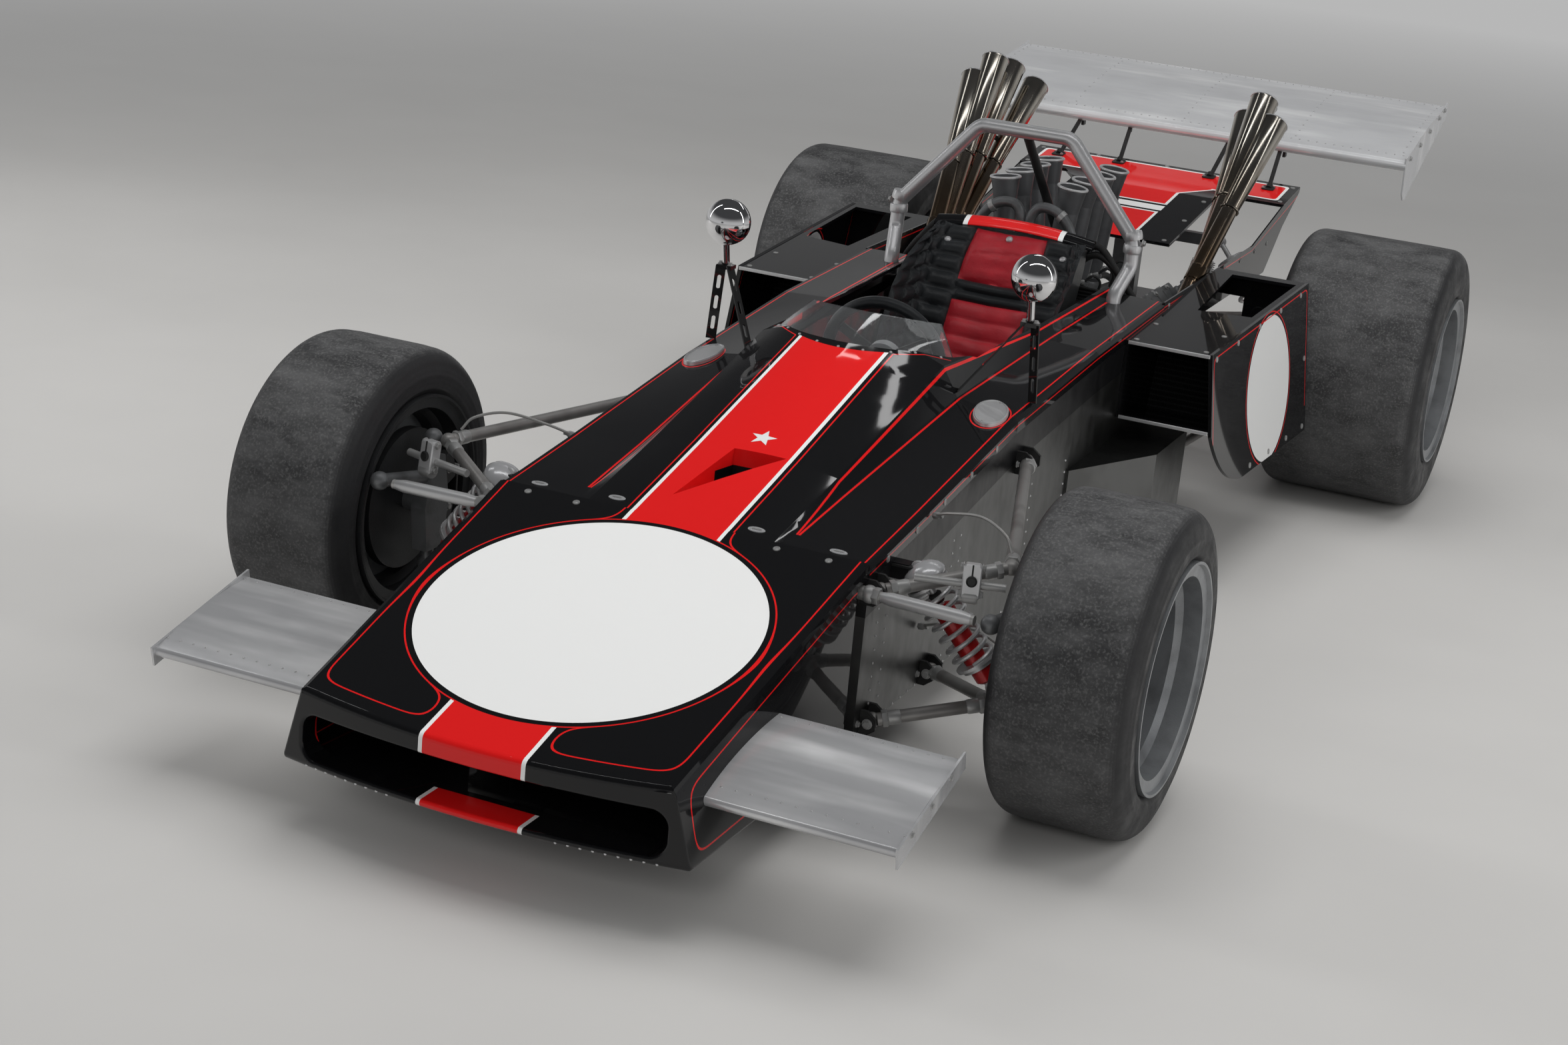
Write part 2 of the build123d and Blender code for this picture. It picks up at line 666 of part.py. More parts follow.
def mirror_left():
    """Round mirror head with its stem, top plate and two strips."""
    centre = (MIRROR_DEPTH ** 2 - MIRROR_R ** 2 - MIRROR_RIM ** 2) / (2 * (MIRROR_DEPTH - MIRROR_RIM))
    dome_r = MIRROR_DEPTH - centre
    half_turn = atan2(MIRROR_R, MIRROR_RIM - centre) / 2
    with BuildPart() as head:
        with BuildSketch(Plane.XZ):
            with BuildLine():
                Polyline((0, MIRROR_DEPTH), (0, 0), (MIRROR_R - 4, 0), (MIRROR_R, 4), (MIRROR_R, MIRROR_RIM))
                ThreePointArc((MIRROR_R, MIRROR_RIM), (dome_r * sin(half_turn), centre + dome_r * cos(half_turn)),
                              (0, MIRROR_DEPTH))
            make_face()
        revolve(axis=Axis.Z)
    turned = head.part.moved(Plane(origin=MIRROR, x_dir=(1, 0, 0), z_dir=(-0.10, -1, 0.10)).location)
    stem = rod(tuple(STALK_TOP), tuple(MIRROR + Vector(0, -8, -MIRROR_R + 8)), 8)
    with BuildPart() as cap:
        with Locations(STALK_TOP):
            Box(34, 26, 8)
    outer_foot = Vector(362, -596, shoulder_top(362, -596) + 1)
    inner_foot = Vector(232, -690, 560)
    outer = strip(STALK_TOP + Vector(12, 0, 0), outer_foot, Vector(-0.42, -0.9, 0))
    inner = strip(STALK_TOP + Vector(-10, -4, 0), inner_foot, Vector(-0.9, -0.4, 0))
    with BuildPart() as strips:
        for piece in (outer, inner):
            add(piece)
        add(body_loft(BODY_SECTIONS, -SEAT_GAP), mode=Mode.SUBTRACT)
    return joined([*strips.solids(), stem, cap.part, turned])


left_mirror = mirror_left()
save(left_mirror, "mirror_left")
save(left_mirror.mirror(Plane.YZ), "mirror_right")


# Front wings: cambered section with an end plate
def airfoil(chord, thick, plane):
    """A wing section as a face: round nose, arched top, nearly flat belly."""
    with BuildSketch(plane) as section:
        with BuildLine():
            ThreePointArc((0, thick * 0.35), (-thick * 0.32, 0), (0, -thick * 0.35))
            ThreePointArc((0, thick * 0.35), (chord * 0.4, thick * 0.62), (chord, 1.5))
            Line((chord, 1.5), (chord, -1.5))
            ThreePointArc((chord, -1.5), (chord * 0.4, -thick * 0.38), (0, -thick * 0.35))
        make_face()
    return section.sketch.face()


WING_PITCH = 13.0


def front_wing_left():
    """The left nose wing with its tip plate."""
    root = NOSE_HALF_FRONT - 20
    along = Plane(origin=(root, FRONT_WING_LE_Y, 208), x_dir=(0, cos(radians(WING_PITCH)), sin(radians(WING_PITCH))),
                  z_dir=(1, 0, 0))
    section = airfoil(FRONT_WING_CHORD, 26, along)
    with BuildPart() as piece:
        extrude(section, amount=FRONT_WING_TIP_X - 4 - root, dir=(1, 0, 0))
        add(nose_loft(-SEAT_GAP), mode=Mode.SUBTRACT)
        with BuildSketch(along.offset(FRONT_WING_TIP_X - 4 - root)):
            with BuildLine():
                Polyline((-14, -22), (FRONT_WING_CHORD + 6, -18), (FRONT_WING_CHORD + 6, 14), (-14, 14), close=True)
            make_face()
        extrude(amount=4)
    return piece.part


left_wing = front_wing_left()
save(left_wing, "front_wing_left")
save(left_wing.mirror(Plane.YZ), "front_wing_right")


# Rear wing, end plates and mount
wing_back = Vector(0, cos(radians(REAR_WING_ANGLE)), sin(radians(REAR_WING_ANGLE)))
wing_nose = Vector(0, REAR_WING_TE[0], REAR_WING_TE[1]) - wing_back * REAR_WING_CHORD
section = Plane(origin=wing_nose - Vector(REAR_WING_HALF, 0, 0), x_dir=wing_back, z_dir=(1, 0, 0))
rear_section = airfoil(REAR_WING_CHORD, 44, section)
with BuildPart() as rear_wing:
    extrude(rear_section, amount=2 * REAR_WING_HALF, dir=(1, 0, 0))
    for offset in (0, 2 * REAR_WING_HALF - 4):
        with BuildSketch(section.offset(offset)):
            with BuildLine():
                Polyline((-12, 24), (REAR_WING_CHORD + 3, 12), (REAR_WING_CHORD + 3, -30),
                         (74, -100), (44, -110), (8, -104), (-12, -80), close=True)
            make_face()
        extrude(amount=4)
save(rear_wing.part, "rear_wing")

# Engine block, heads, intake stacks
with BuildPart() as engine_block:
    with BuildSketch(Plane(origin=(0, ENGINE_FRONT_Y, 0), x_dir=(1, 0, 0), z_dir=(0, -1, 0))):
        with BuildLine():
            Polyline((-120, 96), (120, 96), (150, 180), (150, 270), (262, 400), (180, 478), (60, 400),
                     (-60, 400), (-180, 478), (-262, 400), (-150, 270), (-150, 180), close=True)
        make_face()
    extrude(amount=-ENGINE_LENGTH)
save(engine_block.part, "engine_block")


# The deck's outward normal, the head's lower side normal and the middle of that side
DECK_UP = Vector(0.695, 0, 0.719)
HEAD_SIDE = Vector(0.719, 0, -0.695)
HEAD_WIDTH = 104.0
HEAD_DEPTH = 52.0
deck_middle = Vector(221.3, 0, 439.3)
head_side_face = deck_middle + HEAD_SIDE * (HEAD_WIDTH / 2) + DECK_UP * (HEAD_DEPTH / 2)


def head_left():
    """The left cylinder head with its rocker cover."""
    with BuildPart() as piece:
        plane = Plane(origin=deck_middle + Vector(0, ENGINE_FRONT_Y + 20, 0), x_dir=(0, 1, 0), z_dir=DECK_UP)
        with BuildSketch(plane):
            with Locations(((ENGINE_LENGTH - 40) / 2, 0)):
                Rectangle(ENGINE_LENGTH - 40, HEAD_WIDTH)
        extrude(amount=HEAD_DEPTH)
        with BuildSketch(plane.offset(HEAD_DEPTH)):
            with Locations(((ENGINE_LENGTH - 40) / 2, 0)):
                RectangleRounded(ENGINE_LENGTH - 60, 92, 12)
        extrude(amount=30)
    return piece.part


save(both_sides(head_left()), "cylinder_heads")


def stacks_left():
    """Four trumpets with rolled lips on the left bank."""
    trumpets = []
    for number in range(4):
        y = FIRST_BORE_Y + number * BORE_PITCH
        lean = Plane(origin=(52, y, 472.5), z_dir=(0.1, 0, 1))
        length = STACK_TOP_Z - 470
        with BuildPart() as trumpet:
            with BuildSketch(Plane.XZ):
                with BuildLine():
                    Polyline((STACK_R - 4, 0), (STACK_R, 0), (STACK_R, length - 60), (STACK_R + 7, length - 8),
                             (STACK_R + 7, length), (STACK_R + 4, length), (STACK_R - STACK_WALL, length - 58),
                             (STACK_R - 4, 0), close=True)
                make_face()
            revolve(axis=Axis.Z)
        trumpets.append(trumpet.part.moved(lean.location))
    return trumpets


with BuildPart() as intake_stacks:
    for trumpet in stacks_left():
        add(trumpet)
        add(trumpet.mirror(Plane.YZ))
save(intake_stacks.part, "intake_stacks")

with BuildPart() as manifold:
    with BuildSketch(Plane(origin=(0, FIRST_BORE_Y - 45, 0), x_dir=(1, 0, 0), z_dir=(0, -1, 0))):
        with BuildLine():
            Polyline((-57, 400.3), (57, 400.3), (92, 424), (92, 469), (-92, 469), (-92, 424), close=True)
        make_face()
    extrude(amount=-(3 * BORE_PITCH + 90))
save(manifold.part, "intake_manifold")


# Exhausts: four pipes a side, swept up and back into open megaphones
MEGAPHONE_R = 31.0
MEGAPHONE_SHARE = 0.46
MEGAPHONE_DEPTH = 110.0
# One row a pipe from the front: foot and tip
PIPE_ROUTES = (
    ((340.0, 664.0, 566.0), (402.0, 1034.0, 932.0)),
    ((336.0, 708.0, 566.0), (362.0, 1066.0, 980.0)),
    ((330.0, 752.0, 566.0), (342.0, 1150.0, 956.0)),
    ((324.0, 796.0, 566.0), (292.0, 1216.0, 906.0)),
)


def megaphone(foot, tip):
    """A pipe's last run: a straight tube that flares to an open end."""
    run = Vector(*tip) - Vector(*foot)
    flare_at = run.length * MEGAPHONE_SHARE
    slope = (MEGAPHONE_R - PIPE_R) / (run.length - flare_at)
    inner_end = MEGAPHONE_R - STACK_WALL
    with BuildPart() as piece:
        with BuildSketch(Plane.XZ):
            with BuildLine():
                Polyline(
                    (0, 0), (PIPE_R, 0), (PIPE_R, flare_at), (MEGAPHONE_R, run.length), (inner_end, run.length),
                    (inner_end - slope * MEGAPHONE_DEPTH, run.length - MEGAPHONE_DEPTH),
                    (0, run.length - MEGAPHONE_DEPTH), close=True,
                )
            make_face()
        revolve(axis=Axis.Z)
    return piece.part.moved(Plane(origin=foot, z_dir=run).location)


def exhaust_left():
    """The left bank's four pipes."""
    port = head_side_face + HEAD_SIDE * SEAT_GAP
    knee = head_side_face + HEAD_SIDE * 30
    pieces = []
    for number, (foot, tip) in enumerate(PIPE_ROUTES):
        y = FIRST_BORE_Y + number * BORE_PITCH
        along = Vector(0, y, 0)
        rise = (346, y + 10, 446 - 8 * number)
        pieces.append(elbowed([port + along, knee + along, rise, foot], PIPE_R))
        pieces.append(ball(foot, PIPE_R))
        pieces.append(megaphone(foot, tip))
    return joined(pieces)


exhaust_l = exhaust_left()
save(exhaust_l, "exhaust_left")
save(exhaust_l.mirror(Plane.YZ), "exhaust_right")


# Gearbox and bell housing
with BuildPart() as gearbox:
    for y, half, low, high in ((ENGINE_FRONT_Y + ENGINE_LENGTH + PANEL_GAP, 170, 110, 420), (1010, 110, 140, 380)):
        with BuildSketch(Plane(origin=(0, y, 0), x_dir=(1, 0, 0), z_dir=(0, -1, 0))):
            with Locations((0, (low + high) / 2)):
                Rectangle(2 * half, high - low)
    loft(ruled=True)
    for y, half, low, high in ((1010, 110, 140, 380), (GEARBOX_REAR_Y, 90, 170, 360)):
        with BuildSketch(Plane(origin=(0, y, 0), x_dir=(1, 0, 0), z_dir=(0, -1, 0))):
            with Locations((0, (low + high) / 2)):
                Rectangle(2 * half, high - low)
    loft(ruled=True)
    with Locations(Plane(origin=(0, REAR_AXLE_Y, REAR_TYRE_R), z_dir=(1, 0, 0))):
        Cylinder(62, 300)
    with Locations((0, REAR_COIL_TOP_Y, (350 + REAR_COIL_TOP_Z) / 2)):
        Box(70, 40, REAR_COIL_TOP_Z - 350)
    with Locations((0, REAR_COIL_TOP_Y, REAR_COIL_TOP_Z)):
        Box(2 * (REAR_COIL_TOP_X - COIL_EYE_R - SEAT_GAP), 26, 30)
save(gearbox.part, "gearbox")


# Rear uprights and drive shafts
def rear_upright_left():
    """The left rear upright and its spindle."""
    x = REAR_TRACK / 2 - 60 - 90
    z = REAR_TYRE_R
    post = plate([(REAR_AXLE_Y - UPRIGHT_HALF, z - 120), (REAR_AXLE_Y + UPRIGHT_HALF, z - 120), (REAR_AXLE_Y + 54, z + 110),
                  (REAR_AXLE_Y - 54, z + 110)], Plane.YZ.offset(x - 25), 50)
    spindle = rod((x, REAR_AXLE_Y, z), (REAR_TRACK / 2 - 60 + 30, REAR_AXLE_Y, z), HUB_BORE_R - SPINDLE_CLEARANCE)
    return joined([post, spindle])


save(both_sides(rear_upright_left()), "rear_uprights")

shaft_x = REAR_TRACK / 2 - 60 - 90 - 25
save(both_sides(rod((150 + SEAT_GAP, REAR_AXLE_Y, REAR_TYRE_R), (shaft_x - SEAT_GAP, REAR_AXLE_Y, REAR_TYRE_R), 16)),
     "drive_shafts")


# Wishbones and links
def link(start, end, radius):
    """A tube with a round eye at each end."""
    return joined([rod(start, end, radius), ball(start, EYE_R), ball(end, EYE_R)])


def wishbone(end, mounts, radius):
    """Two tubes from the body's side to one outer joint."""
    legs = []
    for y, z in mounts:
        legs.append(link((side_x(y) + EYE_R + SEAT_GAP, y, z), end, radius))
    return joined(legs)


with BuildPart() as front_wishbones:
    arm_x = KINGPIN_X - BALL_R - EYE_R - SEAT_GAP
    low = (arm_x, FRONT_AXLE_Y, FRONT_TYRE_R - BALL_DROP)
    high = (arm_x, FRONT_AXLE_Y, FRONT_TYRE_R + BALL_RISE)
    add(wishbone(low, ((FRONT_AXLE_Y - 110, 132), (FRONT_AXLE_Y + 190, 132)), 12))
    add(wishbone(high, ((FRONT_AXLE_Y - 140, 388), RADIUS_ROD_FOOT), 12))
    mirror(about=Plane.YZ)
save(front_wishbones.part, "front_wishbones")


def rear_links_left():
    """Lower links, top link and radius rods of the left side."""
    x = REAR_TRACK / 2 - 60 - 90 - 25 - EYE_R - SEAT_GAP
    y, z = REAR_AXLE_Y, REAR_TYRE_R
    start_y = TUB_REAR_Y + EYE_R + SEAT_GAP
    return [
        link((134, y - 20, 190), (x, y - 36, z - 104), 11),
        link((132, y + 130, 190), (x, y + 40, z - 104), 11),
        link((136, y + 90, 350), (x, y + 30, z + 92), 11),
        link((330, start_y, 150), (x, y - 36, z - 70), 11),
        link((330, start_y, 350), (x, y - 30, z + 40), 11),
    ]


with BuildPart() as rear_links:
    for link in rear_links_left():
        add(link)
        add(link.mirror(Plane.YZ))
save(rear_links.part, "rear_links")


# Coil-overs
def coilover(top, foot, spring_r):
    """Damper with its spring as one plain sleeve between perches."""
    run = Vector(*foot) - Vector(*top)
    plane = Plane(origin=top, z_dir=run)
    length = run.length
    with BuildPart() as piece:
        with BuildSketch(plane):
            Circle(9)
        extrude(amount=length)
        with BuildSketch(plane.offset(length * 0.16)):
            Circle(spring_r)
        extrude(amount=length * 0.60)
        with BuildSketch(plane.offset(length * 0.5)):
            Circle(19)
        extrude(amount=length * 0.42)
    return joined([piece.part, ball(top, COIL_EYE_R), ball(foot, COIL_EYE_R)])


front_top = (COIL_TOP_X, COIL_TOP_Y, COIL_TOP_Z)
front_foot = (arm_x - 6, FRONT_AXLE_Y, FRONT_TYRE_R - BALL_DROP + EYE_R + COIL_EYE_R - 0.2)
save(both_sides(coilover(front_top, front_foot, 34)), "front_coilovers")
rear_top = (REAR_COIL_TOP_X, REAR_COIL_TOP_Y, REAR_COIL_TOP_Z)
rear_foot = (541, REAR_AXLE_Y + UPRIGHT_HALF + COIL_EYE_R + SEAT_GAP, 240)
save(both_sides(coilover(rear_top, rear_foot, 38)), "rear_coilovers")


# Side pods: a box with an open front and top outlet behind a deep outer plate
def pod_x(y, z):
    """The outer plate's face at a station and height."""
    return POD_FRONT_X + POD_SPLAY * (y - POD_FRONT_Y) + POD_FLARE * (POD_TOP_Z - z)


def pod_core(inset):
    """The pod's box form, or its inside when inset."""
    rows = (
        (POD_FRONT_Y - (1 if inset else 0), 385.0, POD_TOP_Z - 2),
        (POD_REAR_Y - inset, 262.0, POD_TOP_Z + POD_RISE - 2),
    )
    with BuildPart() as body:
        for y, low, top in rows:
            with BuildSketch(Plane(origin=(0, y, 0), x_dir=(1, 0, 0), z_dir=(0, -1, 0))):
                with BuildLine():
                    Polyline((POD_INNER_X + inset, low + inset), (pod_x(y, low) - 1 - inset, low + inset),
                             (pod_x(y, top) - 1 - inset, top - inset), (POD_INNER_X + inset, top - inset), close=True)
                make_face()
        loft(ruled=True)
    return body.part


pod_length = POD_REAR_Y - POD_FRONT_Y
pod_plane = Plane(origin=(POD_FRONT_X, POD_FRONT_Y, POD_TOP_Z), x_dir=(POD_SPLAY, 1, 0),
                  z_dir=(1, -POD_SPLAY, POD_FLARE))
with BuildPart() as side_pod:
    add(pod_core(0))
    with BuildSketch(pod_plane):
        with BuildLine():
            Polyline((0, -185), (0, 0), (pod_length, POD_RISE), (pod_length, -330), (270, -330))
            ThreePointArc((270, -330), (86, -277), (0, -185))
        make_face()
    extrude(amount=-POD_WALL)
    add(pod_core(POD_WALL), mode=Mode.SUBTRACT)
    with BuildSketch(Plane.XY.offset(500)):
        with BuildLine():
            Polyline((442, 350), (566, 372), (582, 736), (424, 730), close=True)
        make_face()
    extrude(amount=200, mode=Mode.SUBTRACT)
    with Locations((POD_INNER_X + 36, 570, 420)):
        Box(84, 440, 240, mode=Mode.SUBTRACT)
save(side_pod.part, "side_pod_left")
save(side_pod.part.mirror(Plane.YZ), "side_pod_right")

with BuildPart() as radiator:
    with BuildSketch(Plane(origin=(480, 300, 440), x_dir=(1, 0, 0), z_dir=(0, -1, 0.35))):
        Rectangle(400, 500)
    extrude(amount=40)
    add(pod_core(POD_WALL + SEAT_GAP), mode=Mode.INTERSECT)
save(both_sides(radiator.part), "radiators")


# Tail deck, its wing struts and the panels beside the engine
TAIL_Y = 1596.0
TAIL_Z = 688.0
TAIL_HALF = BODY_HALF
TAIL_THICK = 8.0
DECK_FRONT_Y = 950.0
DECK_FRONT_Z = 600.0
DECK_STEM_HALF = 200.0
DECK_BAND_Y = 1420.0


def tail_deck():
    """The T-shaped deck in plan, sloping up to the tail."""
    half = [(DECK_STEM_HALF, DECK_FRONT_Y), (DECK_STEM_HALF, DECK_BAND_Y - 60), (DECK_STEM_HALF + 40, DECK_BAND_Y),
            (TAIL_HALF, DECK_BAND_Y), (TAIL_HALF, TAIL_Y)]
    with BuildPart() as deck:
        with BuildSketch(Plane.XY.offset(DECK_FRONT_Z - 100)):
            with BuildLine():
                Polyline(*half, *[(-x, y) for x, y in reversed(half)], close=True)
            make_face()
        extrude(amount=300)
        add(plate([(DECK_FRONT_Y, DECK_FRONT_Z), (TAIL_Y, TAIL_Z), (TAIL_Y, TAIL_Z - TAIL_THICK),
                   (DECK_FRONT_Y, DECK_FRONT_Z - TAIL_THICK)], Plane.YZ, TAIL_HALF, both=True), mode=Mode.INTERSECT)
    return deck.part


deck = tail_deck()
save(deck, "tail_panel")
deck_under = TAIL_Z - TAIL_THICK - PANEL_GAP
deck_slope = (TAIL_Z - DECK_FRONT_Z) / (TAIL_Y - DECK_FRONT_Y)
panel_left = plate(
    [(TUB_REAR_Y + PANEL_GAP, 500), (1290, 500), (1311, 513), (1441, 602), (1529, 644), (TAIL_Y - 4, deck_under - 6),
     (TAIL_Y - 4, deck_under - 4 * deck_slope), (DECK_BAND_Y - PANEL_GAP, deck_under - 176.3 * deck_slope),
     (DECK_BAND_Y - PANEL_GAP, 662), (1120, 598), (TUB_REAR_Y + PANEL_GAP, 594)],
    Plane.YZ.offset(TAIL_HALF - 4), 4)
save(both_sides(panel_left), "engine_side_panels")

# Wing struts, one row a strut of the left side: foot and head
STRUT_R = 6.0
STRUTS = (
    ((130.0, 1552.0, 676.0), (147.0, 1712.0, 800.0)),
    ((302.0, 1536.0, 674.0), (286.0, 1712.0, 798.0)),
)
with BuildPart() as wing_mount:
    for foot, head in STRUTS:
        strut = rod(foot, head, STRUT_R)
        add(strut)
        add(strut.mirror(Plane.YZ))
    add(rear_wing.part.moved(Location((0, 0, -SEAT_GAP))), mode=Mode.SUBTRACT)
    add(plate([(DECK_FRONT_Y, DECK_FRONT_Z + SEAT_GAP), (TAIL_Y, TAIL_Z + SEAT_GAP), (TAIL_Y, TAIL_Z - 90),
               (DECK_FRONT_Y, DECK_FRONT_Z - 90)], Plane.YZ, TAIL_HALF, both=True), mode=Mode.SUBTRACT)
save(wing_mount.part, "wing_mount")

# Oval covers on the shoulders
with BuildPart() as oval_cover:
    with BuildSketch(Plane.XY.offset(500)):
        with Locations(Location((317, -722), 4)):
            Ellipse(33, 62)
    extrude(amount=100)
    add(body_loft(BODY_SECTIONS, -COVER_THICK), mode=Mode.INTERSECT)
    add(body_loft(BODY_SECTIONS, -SEAT_GAP), mode=Mode.SUBTRACT)
save(both_sides(oval_cover.part), "oval_covers")
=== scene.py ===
import bmesh
import bpy
from math import atan2, cos, pi, radians, sin, sqrt
from mathutils import Matrix, Vector, noise
from mathutils.bvhtree import BVHTree


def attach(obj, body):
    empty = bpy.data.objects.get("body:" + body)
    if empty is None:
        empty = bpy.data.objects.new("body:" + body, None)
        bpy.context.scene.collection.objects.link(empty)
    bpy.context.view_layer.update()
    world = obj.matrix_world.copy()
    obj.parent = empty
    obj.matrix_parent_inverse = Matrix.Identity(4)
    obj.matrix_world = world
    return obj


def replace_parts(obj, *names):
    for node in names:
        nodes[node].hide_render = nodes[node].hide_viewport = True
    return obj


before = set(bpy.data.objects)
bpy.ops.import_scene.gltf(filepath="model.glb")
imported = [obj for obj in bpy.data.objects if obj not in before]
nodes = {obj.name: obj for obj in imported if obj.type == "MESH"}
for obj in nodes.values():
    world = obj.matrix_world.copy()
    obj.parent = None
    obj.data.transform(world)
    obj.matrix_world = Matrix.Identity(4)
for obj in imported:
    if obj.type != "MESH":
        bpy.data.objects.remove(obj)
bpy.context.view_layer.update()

# Everything is in metres, +X to the car's left, nose towards -Y, ground at Z 0.

# Colours as linear values
BLACK = (0.004, 0.004, 0.0045)
RED = (0.62, 0.008, 0.008)
WHITE = (0.72, 0.72, 0.71)

# The painted pattern, from the photograph's proportions
STRIPE_HALF = 0.090
STRIPE_EDGE = 0.0075
STRIPE_OUTER = STRIPE_HALF + STRIPE_EDGE
PIN = 0.0030
PIN_GAP = 0.012
COWL_PIN_GAP = 0.009
CORNER_BLEND = 0.055
SIDE_BLEND = 0.05
ROUNDEL_Y = -1.791
ROUNDEL_R = 0.302
ROUNDEL_RING = 0.012
WEDGE_COS = cos(radians(15.2))
NOSE_FRONT_Y = -2.178
NOSE_SPLIT_Y = -1.465
NOSE_TOP_AT_FRONT = 0.246
NOSE_TOP_AT_SPLIT = 0.440
NOSE_HALF_FRONT = 0.341
NOSE_HALF_REAR = 0.372
NOSE_CROWN_Z = 0.205
NOSE_UNDER_Z = 0.134
POD_ROUNDEL = (0.440, 0.405)
POD_ROUNDEL_R = 0.172
POD_LENGTH = 0.77
SCREEN_FRONT_Y = -0.768
OVAL_X, OVAL_Y = 0.317, -0.722

# Lines of the body at its stations: y and distance from the middle
HUMP_LINE = ((-1.42, 0.204), (-1.2, 0.192), (-0.7, 0.200), (-0.2, 0.228), (0.3, 0.240))
SHOULDER_LINE = ((-1.42, 0.206), (-1.2, 0.213), (-0.7, 0.236), (-0.2, 0.252), (0.3, 0.262))
EDGE_LINE = ((-1.465, 0.372), (-1.2, 0.371), (-0.7, 0.369), (-0.2, 0.376), (0.3, 0.376))
EDGE_HEIGHT = ((-1.465, 0.434), (-1.2, 0.466), (-0.7, 0.533), (-0.2, 0.574), (0.3, 0.594))


class Field:
    """A shader value that takes part in arithmetic, so a pattern reads as a formula."""

    def __init__(self, tree, socket):
        self.tree = tree
        self.socket = socket

    def math(self, operation, *others):
        node = self.tree.nodes.new("ShaderNodeMath")
        node.operation = operation
        for slot, value in zip(node.inputs, (self, *others)):
            if isinstance(value, Field):
                self.tree.links.new(value.socket, slot)
            else:
                slot.default_value = value
        return Field(self.tree, node.outputs[0])

    def __add__(self, other):
        return self.math("ADD", other)

    def __sub__(self, other):
        return self.math("SUBTRACT", other)

    def __mul__(self, other):
        return self.math("MULTIPLY", other)

    def __truediv__(self, other):
        return self.math("DIVIDE", other)

    def __abs__(self):
        return self.math("ABSOLUTE")

    def below(self, limit):
        """1 where the value is under the limit, else 0."""
        return self.math("LESS_THAN", limit)

    def above(self, limit):
        return self.math("GREATER_THAN", limit)

    def least(self, other):
        return self.math("MINIMUM", other)

    def most(self, other):
        return self.math("MAXIMUM", other)

    def merged(self, other, radius):
        """The smaller of two distances, rounded where they meet."""
        return self.math("SMOOTH_MIN", other, radius)

    def near(self, level, width):
        """1 within half a width of a level: a line along a contour."""
        return abs(self - level).below(width / 2)

    def within(self, low, high):
        return self.above(low) * self.below(high)

    def invert(self):
        return (self * -1) + 1


def length2(a, b):
    """Distance from the origin in two directions."""
    return (a * a + b * b).math("SQRT")


